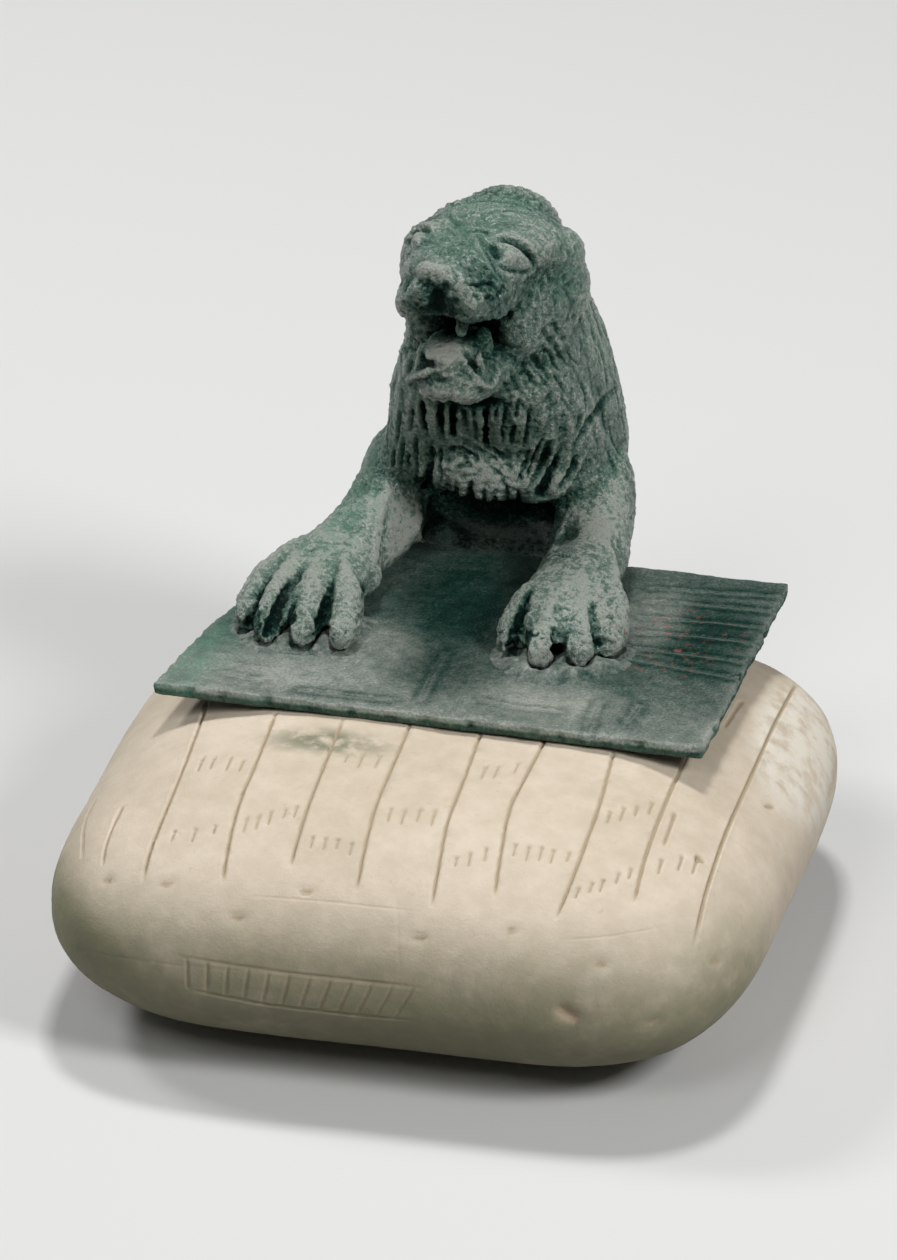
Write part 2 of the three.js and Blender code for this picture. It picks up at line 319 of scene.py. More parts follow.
lionValues = {
    "firstVoxel": 0.5,
    "voxel": 0.38,
    "vertices": 98000,
    "swell": (4.5, 0.14, 3),      # size and height in mm, octaves
    "lumps": (1.3, 0.065, 3),
    "grains": (0.9, 0.17, 2),
    "muzzle": ((-5, 27, 96), (10, 9, 9), 0.5),     # place and radii in mm, soft edge
    "bulge": ((-3, 41, 59), (11, 6, 5.5), 0.5),
    "forehead": ((-4, 40, 101), (10, 9, 5), 0.5),
    "rightEye": ((0.8, 33.5, 98.6), (5.5, 4.5, 4.5), 0.5),
    "leftEye": ((-13, 37, 99), (4, 4, 4), 0.5),
    "leftMane": ((-15, 38, 82), (4, 6, 9), 0.3),
    "capTufts": (1.0, 0.62, 0.34, 3),     # spacing, radius and height in mm, seed
    "maneTufts": (1.5, 0.95, 0.45, 5),
    "fills": [   # place in mm, radii in mm, turn in degrees
        ((4.4, 43, 85), (4.2, 6, 8), (0, 0, -20)),
        ((-13.8, 45, 90), (4.4, 7, 7.5), (0, -10, 10)),
        ((-0.5, 42, 97.4), (8.4, 7, 3.6), (8, 0, -8)),
        ((-4.2, 42.6, 58.4), (8.8, 4.2, 4.8), (0, 0, 0)),
        ((3.2, 44.6, 57), (6, 3.2, 4), (0, 0, 14)),
        ((-12.4, 45.2, 58), (4.4, 3.2, 4), (0, 0, -14)),
        ((-6.6, 24.6, 96.4), (6.8, 4.0, 4.4), (0, 0, -8)),
        ((-3.2, 28, 95), (4.6, 4.6, 3.6), (0, 0, -8)),
        ((-15.5, 57.6, 42.5), (6, 5.6, 6.5), (0, 0, 0)),
    ],
    "hollows": [   # pixel of the photograph's view, y in mm, radii in mm
        ((437, 324), 27.5, (3.9, 8, 2.5)), ((424, 327), 29, (2.4, 6, 2.2)),
        ((488, 328), 28, (3.1, 7, 2.5)), ((497, 322), 31, (2.2, 5, 2.0)),
        ((427, 287), 23, (0.9, 1.6, 0.7)), ((446, 288), 23, (0.9, 1.6, 0.7)),
        ((436, 402), 33, (6, 4, 1.8)), ((470, 404), 34, (5, 4, 1.8))],
    "teeth": [   # the same, for what stands up again in the mouth
        ((482, 342), 34, (1.7, 2.2, 2.4)), ((462, 325), 28.2, (1.0, 1.6, 2.1)),
        ((446, 346), 30.6, (3.3, 6.2, 1.5))],
    "slots": [   # line over the photograph's view, half widths in mm and depths in mm, start and end
        ([(272, 574), (259, 594), (246, 630)], (0.5, 0.9), (1.4, 3.4)),
        ([(305, 566), (288, 590), (277, 618), (270, 646)], (0.5, 1.7), (1.6, 4.4)),
        ([(333, 577), (327, 604), (319, 630), (312, 652)], (0.4, 1.5), (1.6, 4.2)),
        ([(363, 583), (366, 594), (366, 606)], (0.4, 0.8), (1.4, 2.4)),
        ([(534, 584), (523, 606), (517, 630), (512, 656)], (0.5, 1.5), (1.6, 4.2)),
        ([(558, 590), (557, 604), (556, 616)], (0.35, 0.5), (1.6, 2.6)),
        ([(556, 626), (556, 642), (557, 662)], (0.5, 1.5), (1.6, 4.0)),
        ([(592, 590), (594, 616), (600, 650)], (0.4, 1.1), (1.4, 3.6)),
        ([(453, 402), (453, 420), (454, 438)], (0.9, 0.7), (2.4, 2.0)),
        ([(440, 402), (441, 416), (441, 430)], (0.5, 0.35), (1.8, 1.2)),
        ([(424, 404), (425, 422), (428, 440)], (0.6, 0.5), (1.8, 1.6)),
        ([(486, 404), (486, 424), (486, 446)], (0.6, 0.6), (1.6, 1.8)),
        ([(431, 440), (430, 462), (426, 492)], (0.5, 1.0), (1.4, 2.8)),
        ([(565, 443), (553, 468), (539, 500)], (0.5, 1.3), (1.4, 3.2)),
        ([(470, 480), (470, 500)], (0.6, 0.9), (1.6, 2.4)),
        ([(448, 478), (447, 498)], (0.5, 0.8), (1.4, 2.2)),
        ([(506, 484), (507, 504)], (0.5, 0.8), (1.4, 2.2))],
    "softAround": [   # place and radius in mm, how often it is smoothed
        ((3, 37, 98.6), 8, 70), ((-12.4, 37.5, 99.4), 6.4, 50), ((-6.8, 25, 98), 7, 10),
        ((8.2, 45, 95), 8, 60), ((-15.5, 47, 93), 7, 40), ((-3, 42, 101), 12, 50),
        ((-4, 31, 100), 6, 20)],
    "planes": [   # place in mm, radius, the way the plane faces, how far it is let in
        ((-17.2, 40, 49.4), 9.5, (0.72, -0.42, 0.55), 1.0),
        ((-22.5, 36.5, 51.5), 6.5, (-0.25, -0.4, 0.88), 0.3),
        ((9.2, 41, 50.5), 7, (-0.8, -0.45, 0.4), 0.9),
        ((17.5, 40, 50), 6, (0.85, -0.2, 0.5), 0.5),
        ((-0.9, 26.5, 98.2), 6.5, (0.72, -0.12, 0.68), 1.1),
        ((-11.5, 26, 97), 5, (-0.8, -0.1, 0.6), 0.6),
        ((-6.5, 22.5, 96), 4.5, (0, -0.86, -0.5), 0.4)],
}

# width, depth and rim in mm, then lines over the photograph's view
headStrokes = {
    "eyeballs": (1.5, 0.8, 0, [
        [(503, 253), (510, 257), (517, 262)], [(414, 238), (419, 240), (424, 242)]]),
    "eye corners": (0.9, -0.9, 0, [[(490, 242), (494, 250), (499, 260)]]),
    "lid creases": (0.85, -1.35, 0, [
        [(496, 240), (506, 239), (516, 242), (526, 249), (533, 259), (536, 269)],
        [(407, 248), (410, 237), (416, 230), (424, 228), (431, 233)]]),
    "lids": (0.6, 0.22, 0, [
        [(490, 238), (503, 234), (516, 236), (527, 243), (536, 253), (539, 267)],
        [(404, 243), (408, 233), (415, 226), (424, 224), (433, 229)]]),
    "under the eyeball": (0.5, -0.4, 0, [[(495, 261), (504, 268), (514, 271), (525, 272), (533, 269)]]),
    "lower lids": (0.8, 0.16, 0, [[(491, 262), (500, 272), (512, 277), (526, 277), (536, 273)]]),
    "outer lid folds": (0.8, 0.2, 0, [[(534, 234), (545, 241), (553, 251)]]),
    "forehead folds": (0.8, -0.15, 0.1, [
        [(478, 220), (490, 213), (510, 211), (530, 215), (546, 221)],
        [(463, 226), (452, 219), (446, 212)]]),
    "cap edge": (0.7, -0.35, 0.1, [
        [(466, 205), (480, 201), (504, 202), (524, 206), (544, 217), (560, 226)]]),
    "inner brow": (0.7, -0.35, 0.1, [
        [(478, 234), (484, 246), (492, 262), (504, 282)], [(470, 232), (480, 231), (490, 235)]]),
    "bridge wrinkles": (0.5, -0.28, 0.08, [
        [(464, 256), (472, 253), (482, 258), (488, 266)],
        [(470, 262), (478, 261), (488, 270), (492, 277)], [(452, 268), (456, 276), (455, 283)]]),
    "muzzle lumps": (0.8, 0.35, 0, [
        [(460, 279), (464, 282)], [(486, 271), (491, 275)], [(482, 288), (488, 291)],
        [(495, 284), (499, 288)], [(478, 297), (483, 299)], [(489, 295), (493, 298)],
        [(499, 297), (503, 299)], [(470, 303), (476, 306)], [(468, 292), (472, 295)]]),
    "muzzle folds": (0.5, -0.35, 0.1, [
        [(462, 285), (470, 284), (477, 286), (484, 283), (493, 285), (500, 292)],
        [(466, 299), (474, 296), (482, 298), (490, 297), (498, 300)]]),
    "nose top": (1.3, 0.5, 0, [[(417, 268), (424, 267), (434, 268), (444, 271), (451, 276)]]),
    "under the nose": (1.2, -0.7, 0, [[(416, 281), (426, 285), (436, 286), (448, 287), (456, 285)]]),
    "nostrils": (0.7, -0.6, 0, [[(421, 285), (428, 287)], [(442, 287), (449, 289)]]),
    "philtrum": (1.5, -0.9, 0, [[(437, 288), (437, 300), (437, 314)]]),
    "lip lobes": (2.2, 0.3, 0, [
        [(458, 300), (468, 306), (480, 308)], [(398, 292), (402, 300), (412, 306)]]),
    "whisker pits": (0.4, -0.45, 0, [
        [(400, 283), (401, 285)], [(406, 289), (407, 291)], [(398, 293), (399, 295)],
        [(411, 297), (412, 299)], [(404, 300), (405, 302)], [(470, 289), (471, 290)],
        [(486, 295), (487, 296)]]),
    "lip edges": (0.7, 0.4, 0, [
        [(412, 312), (427, 313), (441, 313), (456, 316), (464, 318)],
        [(393, 292), (396, 302), (403, 312), (408, 320)]]),
    "lip slit": (0.6, -0.9, 0, [[(401, 310), (405, 316), (409, 324)]]),
    "jaw rim": (0.8, 0.8, 0, [
        [(406, 381), (416, 378), (428, 372), (440, 368), (450, 363), (457, 352)],
        [(458, 353), (464, 362), (470, 372), (478, 382), (488, 386), (496, 378), (500, 366)]]),
    "inside the lip": (0.9, -0.7, 0, [
        [(420, 366), (432, 362), (443, 360)], [(464, 350), (472, 364), (482, 374)]]),
    "under the lip": (1.2, -0.7, 0, [[(410, 388), (424, 383), (440, 382), (456, 386), (474, 394)]]),
    "jaw curls": (0.9, 0.6, 0, [
        [(401, 330), (404, 338)], [(412, 335), (417, 340)], [(399, 347), (404, 353)],
        [(409, 350), (415, 356)], [(404, 362), (410, 368)], [(418, 348), (424, 354)],
        [(398, 338), (399, 342)]]),
    "cheek strands": (0.65, -0.42, 0.1, [
        [(542, 327), (548, 338), (556, 348), (562, 364)], [(531, 353), (540, 366), (551, 377)],
        [(521, 362), (529, 376), (543, 388)], [(509, 370), (515, 382), (522, 396)],
        [(552, 320), (560, 334), (566, 341)], [(553, 374), (560, 383), (564, 392)]]),
    "fine cheek strands": (0.5, -0.3, 0.08, [
        [(548, 350), (553, 362), (561, 372)], [(536, 372), (545, 383), (553, 391)],
        [(566, 346), (572, 358), (580, 366)], [(502, 378), (506, 388), (511, 398)],
        [(561, 395), (566, 404), (573, 411)], [(525, 383), (531, 392), (536, 402)],
        [(541, 345), (547, 353)], [(558, 352), (566, 362)], [(514, 396), (520, 402), (527, 410)]]),
}
chestStrokes = {
    "upper strands": (0.5, -0.6, 0.15, [
        [(413, 406), (411, 424), (410, 432)], [(463, 408), (465, 424)],
        [(473, 404), (474, 420), (477, 441)], [(506, 406), (503, 428), (503, 444)],
        [(518, 402), (515, 420)], [(530, 408), (527, 430), (523, 448)],
        [(401, 410), (399, 424), (396, 446)], [(496, 406), (495, 422)], [(514, 424), (511, 446)]]),
    "deep strands": (0.75, -0.9, 0.3, [
        [(453, 402), (453, 420), (454, 438)], [(440, 402), (441, 420), (442, 440)],
        [(424, 402), (425, 418), (427, 432)], [(486, 404), (486, 424), (486, 446)]]),
    "lower strands": (0.5, -0.6, 0.15, [
        [(404, 438), (402, 455), (401, 472)], [(417, 434), (416, 456), (417, 480)],
        [(409, 452), (408, 470)], [(441, 448), (440, 464), (441, 484)],
        [(543, 438), (534, 458), (526, 486)], [(530, 448), (524, 466), (518, 484)],
        [(390, 416), (388, 440), (386, 458)], [(394, 448), (393, 468)]]),
    "bulge folds": (0.6, -0.5, 0.15, [
        [(448, 452), (458, 447), (470, 452), (480, 461)],
        [(482, 446), (494, 450), (506, 460), (512, 472)], [(455, 468), (466, 464), (474, 470)],
        [(490, 470), (500, 476), (504, 486)], [(462, 457), (470, 461)]]),
    "fringe notches": (0.6, -0.8, 0, [
        [(456, 480), (456, 496)], [(484, 486), (485, 502)], [(519, 486), (518, 504)],
        [(494, 492), (495, 503)]]),
    "side strands": (0.9, -0.8, 0.35, [
        [(578, 456), (570, 472), (558, 492)], [(551, 440), (542, 462), (530, 490)]]),
    "mane strands": (0.8, -0.2, 0.1, [
        [(548, 414), (548, 426), (545, 438)], [(562, 408), (564, 424), (560, 440)],
        [(576, 396), (580, 414), (577, 432)], [(590, 330), (598, 350), (602, 372)],
        [(578, 312), (584, 332), (588, 352)], [(572, 366), (582, 386), (586, 402)],
        [(567, 290), (572, 306), (575, 322)]]),
    "shoulder crease": (1.1, -0.6, 0, [[(616, 388), (602, 404), (588, 424), (577, 446), (573, 466)]]),
}
limbStrokes = {
    "arm ridges": (1.3, 0.5, 0, [
        [(391, 478), (381, 510), (376, 545), (373, 575)],
        [(412, 484), (418, 508), (417, 530), (412, 552), (384, 580)],
        [(580, 500), (566, 524), (555, 546), (547, 560)], [(604, 534), (613, 562), (617, 584)]]),
    "wrist creases": (0.45, -0.35, 0.08, [
        [(330, 530), (346, 532), (361, 531)], [(312, 541), (333, 543), (356, 544)],
        [(536, 557), (550, 556), (562, 555)], [(556, 554), (568, 556), (581, 558)]]),
    "tendons": (0.9, -0.25, 0, [
        [(300, 556), (316, 548), (330, 548)], [(339, 548), (336, 562), (333, 577)],
        [(560, 566), (559, 578), (558, 590)], [(588, 566), (591, 580), (592, 592)]]),
    "knuckle folds": (0.45, -0.2, 0.1, [
        [(564, 622), (573, 620), (584, 624)], [(603, 618), (609, 616), (615, 620)],
        [(566, 634), (576, 631), (586, 636)]]),
    "claws": (0.7, 0.15, 0, [
        [(532, 646), (533, 656), (535, 665)], [(578, 650), (577, 660), (576, 668)],
        [(506, 642), (504, 652)], [(606, 640), (607, 652)], [(294, 632), (296, 641), (299, 648)],
        [(336, 636), (336, 648)], [(262, 630), (260, 642)]]),
}


def flatten(clay, place, radius, facing, letIn):
    away = Vector(facing).normalized()
    offset = clay["co"] - np.array(place) * mm
    gap = np.linalg.norm(offset, axis=1) / (radius * mm)
    height = offset @ np.array(away) + letIn * mm
    share = np.clip(1.5 * (1 - gap), 0, 1) * np.clip((clay["no"] @ np.array(away)) * 1.5, 0, 1)
    clay["co"] -= np.array(away) * (np.clip(height, -1.2 * mm, 3 * mm) * share * 0.8)[:, None]


# Small round tufts set close together where weight is above half
def addTufts(clay, weight, spacing, radius, height, seed):
    order = np.random.default_rng(seed).permutation(np.flatnonzero(weight > 0.5))
    taken = {}
    cell = spacing * mm
    for i in order:
        p = clay["co"][i]
        key = tuple(np.floor(p / cell).astype(int))
        close = False
        for dx in (-1, 0, 1):
            for dy in (-1, 0, 1):
                for dz in (-1, 0, 1):
                    q = taken.get((key[0] + dx, key[1] + dy, key[2] + dz))
                    close = close or (q is not None and np.linalg.norm(p - q) < cell)
        if not close:
            taken[key] = p
    seeds = list(taken.values())
    if not seeds:
        return
    tree = KDTree(len(seeds))
    for i, p in enumerate(seeds):
        tree.insert(p, i)
    tree.balance()
    inside = np.flatnonzero(weight > 0.02)
    gap = np.array([tree.find(p)[2] for p in clay["co"][inside].tolist()]) / (radius * mm)
    rise = np.where(gap < 1, np.sqrt(np.clip(1 - gap ** 2, 0, 1)) - 0.35, -0.35)
    clay["co"][inside] += clay["no"][inside] * (rise * weight[inside] * height * mm)[:, None]


def within(clay, place, radii, edge=0.3):
    gap = np.linalg.norm((clay["co"] / mm - np.array(place)) / np.array(radii), axis=1)
    return np.clip((1 - gap) / edge, 0, 1)


# Locks of the mane round the sides and back, row under row
maneValues = {
    "axis": (-4.6, 56),
    "rows": 7,
    "top": 99,
    "rowStep": 7.2,
    "locks": 15,
    "from": -28,       # degrees, the right side; 90 is straight back
    "to": 208,
    "width": 0.85,
    "depth": -0.42,
    "frontDepth": -0.11,
    "seed": 21,
}


def addLocks(clay, values):
    rng = np.random.default_rng(values["seed"])
    tree = treeOf(clay)
    ax, ay = values["axis"]
    for row in range(values["rows"]):
        z0 = values["top"] - row * values["rowStep"]
        for lock in range(values["locks"]):
            share = (lock + 0.5 * (row % 2) + rng.uniform(-0.12, 0.12)) / (values["locks"] - 0.5)
            angle = math.radians(values["from"] + (values["to"] - values["from"]) * share)
            lean = rng.uniform(-0.05, 0.05) + 0.05 * math.cos(angle)
            long = values["rowStep"] * rng.uniform(1.1, 1.5)
            points = []
            for i in range(9):
                a = angle + lean * math.sin(i / 8 * 3)
                z = (z0 - long * i / 8) * mm
                outside = Vector(((ax + 60 * math.cos(a)) * mm, (ay + 60 * math.sin(a)) * mm, z))
                hit = tree.ray_cast(outside, Vector((ax * mm, ay * mm, z)) - outside)
                if hit[0] is not None:
                    points.append((hit[0], hit[1]))
            if points and min(p.y for p, _ in points) > 46 * mm:
                back = min(1, max(0, (min(p.y for p, _ in points) / mm - 48) / 10))
                depth = values["frontDepth"] + (values["depth"] - values["frontDepth"]) * back
                stroke(clay, points, values["width"] * rng.uniform(0.8, 1.2), depth, 0.12 * back)
    press(clay)


def makeLion(values):
    lion = copyNode("lion_casting", "lionFigure")
    unite(lion, [addLump(*fill) for fill in values["fills"]])
    remesh(lion, values["firstVoxel"])
    clay = takeClay(lion)
    smooth(clay, 3)
    press(clay)
    slots = [(seen(clay, line), max(widths)) for line, widths, _ in values["slots"]]
    cutters = []
    for (path, _), (_, widths, depths) in zip(slots, values["slots"]):
        cutters.append(addWedge(path, widths, depths))
    cutters += [addLump(atDepth(*pixel, y), radii) for pixel, y, radii in values["hollows"]]
    cutAll(lion, cutters)
    unite(lion, [addLump(atDepth(*pixel, y), radii) for pixel, y, radii in values["teeth"]])
    remesh(lion, values["voxel"])
    clay = takeClay(lion)
    smooth(clay, 8)
    for place, radius, times in values["softAround"]:
        gap = np.linalg.norm(clay["co"] - np.array(place) * mm, axis=1) / (radius * mm)
        smooth(clay, times, 0.6, np.clip(1.6 * (1 - gap), 0, 1))
    x, y, z = (clay["co"] / mm).T
    arms = fade(z, 66, 60) * fade(y, 24, 28) * fade(abs(x + 4.6), 11, 14)
    smooth(clay, 12, 0.6, arms)
    press(clay)
    for plane in values["planes"]:
        flatten(clay, *plane)
    smooth(clay, 2, 0.5, arms)
    press(clay)
    print("lion vertices", len(clay["co"]))
    addLocks(clay, maneValues)
    for strokes in (headStrokes, chestStrokes, limbStrokes):
        paths = {name: [seen(clay, line) for line in lines] for name, (*_, lines) in strokes.items()}
        for name, (width, depth, rim, _) in strokes.items():
            for path in paths[name]:
                stroke(clay, path, width, depth, rim)
            press(clay)
    x, y, z = (clay["co"] / mm).T
    cap = np.clip(y - 47.2 - 0.4 * (x + 5), 0, 1) * fade(z, 93, 96)
    addTufts(clay, cap, *values["capTufts"])
    press(clay)
    addTufts(clay, within(clay, *values["leftMane"]), *values["maneTufts"])
    press(clay)
    x, y, z = (clay["co"] / mm).T
    front = fade(z, 50, 56) * fade(y, 52, 44)
    muzzle = within(clay, *values["muzzle"])
    bulge = within(clay, *values["bulge"])
    forehead = within(clay, *values["forehead"])
    roughen(clay, *values["swell"])
    press(clay)
    limbs = fade(z, 58, 50)
    toes = fade(z, 47.5, 43.5) * fade(y, 26, 18)
    calm = forehead + 1.6 * within(clay, *values["rightEye"])
    calm += 1.6 * within(clay, *values["leftEye"])
    weight = 0.7 + front + 1.2 * muzzle + 3.6 * bulge + 0.7 * limbs + 1.4 * toes - 1.2 * calm
    roughen(clay, *values["lumps"], np.clip(weight, 0.1, 6), 7)
    press(clay)
    weight = 0.7 + 0.7 * front + 0.6 * limbs + 0.6 * toes - calm
    roughen(clay, *values["grains"], np.clip(weight, 0.15, 2.2), 3)
    press(clay)
    applyModifier(lion, "DECIMATE", ratio=min(1, values["vertices"] / len(clay["co"])))
    select(lion)
    bpy.ops.object.shade_smooth()
    return lion, slots


def addNode(tree, kind, place=(0, 0), inputs=None, **values):
    node = tree.nodes.new(kind)
    node.location = place
    for key, value in values.items():
        setattr(node, key, value)
    for key, value in (inputs or {}).items():
        node.inputs[key].default_value = value
    return node


def newGroup(name, inputs, outputs):
    tree = bpy.data.node_groups.new(name, "ShaderNodeTree")
    for socket, kind, value in inputs:
        made = tree.interface.new_socket(name=socket, in_out="INPUT", socket_type=kind)
        if value is not None:
            made.default_value = value
    for socket, kind in outputs:
        tree.interface.new_socket(name=socket, in_out="OUTPUT", socket_type=kind)
    return tree, addNode(tree, "NodeGroupInput", (-900, 0)), addNode(tree, "NodeGroupOutput", (900, 0))


def mixColour(tree, factor, first, second, place=(0, 0), blend="MIX"):
    node = addNode(tree, "ShaderNodeMix", place, data_type="RGBA", blend_type=blend)
    for socket, value in ((node.inputs[0], factor), (node.inputs[6], first), (node.inputs[7], second)):
        if hasattr(value, "is_output"):
            tree.links.new(value, socket)
        else:
            socket.default_value = value if isinstance(value, (int, float)) else (*value, 1)
    return node.outputs[2]


def reach(tree, value, low, high, place=(0, 0), toLow=0.0, toHigh=1.0):
    limits = {"From Min": low, "From Max": high, "To Min": toLow, "To Max": toHigh}
    node = addNode(tree, "ShaderNodeMapRange", place, limits, interpolation_type="SMOOTHSTEP")
    tree.links.new(value, node.inputs["Value"])
    return node.outputs["Result"]


def maths(tree, operation, first, second=None, place=(0, 0), clamp=False):
    node = addNode(tree, "ShaderNodeMath", place, operation=operation, use_clamp=clamp)
    for socket, value in zip(node.inputs, (first, second)):
        if value is None:
            continue
        if hasattr(value, "is_output"):
            tree.links.new(value, socket)
        else:
            socket.default_value = value
    return node.outputs[0]


def noiseAt(tree, vector, scale, detail, rough, place=(0, 0)):
    node = addNode(tree, "ShaderNodeTexNoise", place, {
        "Scale": scale, "Detail": detail, "Roughness": rough})
    tree.links.new(vector, node.inputs["Vector"])
    return node.outputs["Fac"]


crustValues = {
    "fineScale": 5200,
    "lumpScale": 2100,
    "pitScale": 2300,
    "pitDepth": 0.35,
    "fineHeight": 0.15,
    "lumpHeight": 1.1,
}


# Corroded metal skin: fine grains over soft lumps, with small pits
def makeCrustGroup(values):
    tree, given, made = newGroup("crustGrain", [("Vector", "NodeSocketVector", None)],
                                 [("Height", "NodeSocketFloat"), ("Speckle", "NodeSocketFloat")])
    vector = given.outputs["Vector"]
    fine = reach(tree, noiseAt(tree, vector, values["fineScale"], 2, 0.6, (-700, 200)), 0.28, 0.72)
    lumps = reach(tree, noiseAt(tree, vector, values["lumpScale"], 4, 0.7, (-700, 0)), 0.30, 0.70)
    cells = addNode(tree, "ShaderNodeTexVoronoi", (-700, -200), {"Scale": values["pitScale"]})
    tree.links.new(vector, cells.inputs["Vector"])
    pits = reach(tree, cells.outputs["Distance"], 0.0, 0.28, (-400, -200), values["pitDepth"], 0)
    both = maths(tree, "MULTIPLY", fine, values["fineHeight"], (-200, 200))
    swell = maths(tree, "MULTIPLY", lumps, values["lumpHeight"], (-200, 50))
    both = maths(tree, "ADD", both, swell, (0, 100))
    tree.links.new(maths(tree, "SUBTRACT", both, pits, (300, 0)), made.inputs["Height"])
    speckle = maths(tree, "MULTIPLY", lumps, 0.75, (0, -100))
    speckle = maths(tree, "ADD", speckle, maths(tree, "MULTIPLY", fine, 0.25, (0, -250)), (150, -200))
    tree.links.new(speckle, made.inputs["Speckle"])
    return tree


def startMaterial(name):
    material = bpy.data.materials.new(name)
    material.use_nodes = True
    tree = material.node_tree
    bsdf = tree.nodes["Principled BSDF"]
    coords = addNode(tree, "ShaderNodeTexCoord", (-1600, 0)).outputs["Object"]
    return material, tree, bsdf, coords


def readMark(tree, name, place=(-1600, 200)):
    return addNode(tree, "ShaderNodeAttribute", place, attribute_name=name).outputs["Fac"]


patinaValues = {
    "dark": (0.002, 0.014, 0.011),
    "deep": (0.008, 0.042, 0.031),
    "middle": (0.034, 0.106, 0.075),
    "dust": (0.142, 0.236, 0.184),
    "pale": (0.400, 0.440, 0.385),
    "green": (0.130, 0.300, 0.215),
    "brown": (0.300, 0.275, 0.205),
    "copper": (0.330, 0.085, 0.070),
    "roughness": (0.34, 0.26),     # in the hollows and on the high places
    "specular": 1.0,
    "grain": 0.00020,     # metres
    "hollowShare": 0.66,
    # strength of the painted occlusion shade
    "occlusionShadeShare": 0.34,
    "speckle": 0.44,
    "patches": 0.10,
    # strengths of the dust with painted light, the painted shade and the painted glints
    "dustAndLightShare": 0.50,
    "paintedShadeShare": 0.50,
    "paintedGlints": 0.60,
    "specks": 0.50,
    "lift": 0.05,
}

# The plate and the metal round the paws are flatter and duller
plateFinish = {
    **patinaValues,
    "middle": (0.056, 0.094, 0.076),
    "dust": (0.170, 0.202, 0.174),
    "pale": (0.350, 0.375, 0.335),
    "roughness": (0.50, 0.42),
    "specular": 0.5,
    "grain": 0.00010,
    "speckle": 0.26,
    # painted glints
    "paintedGlints": 0.25,
    "specks": 0.30,
    "lift": -0.06,
}
joinFinish = {**plateFinish, "lift": -0.04}
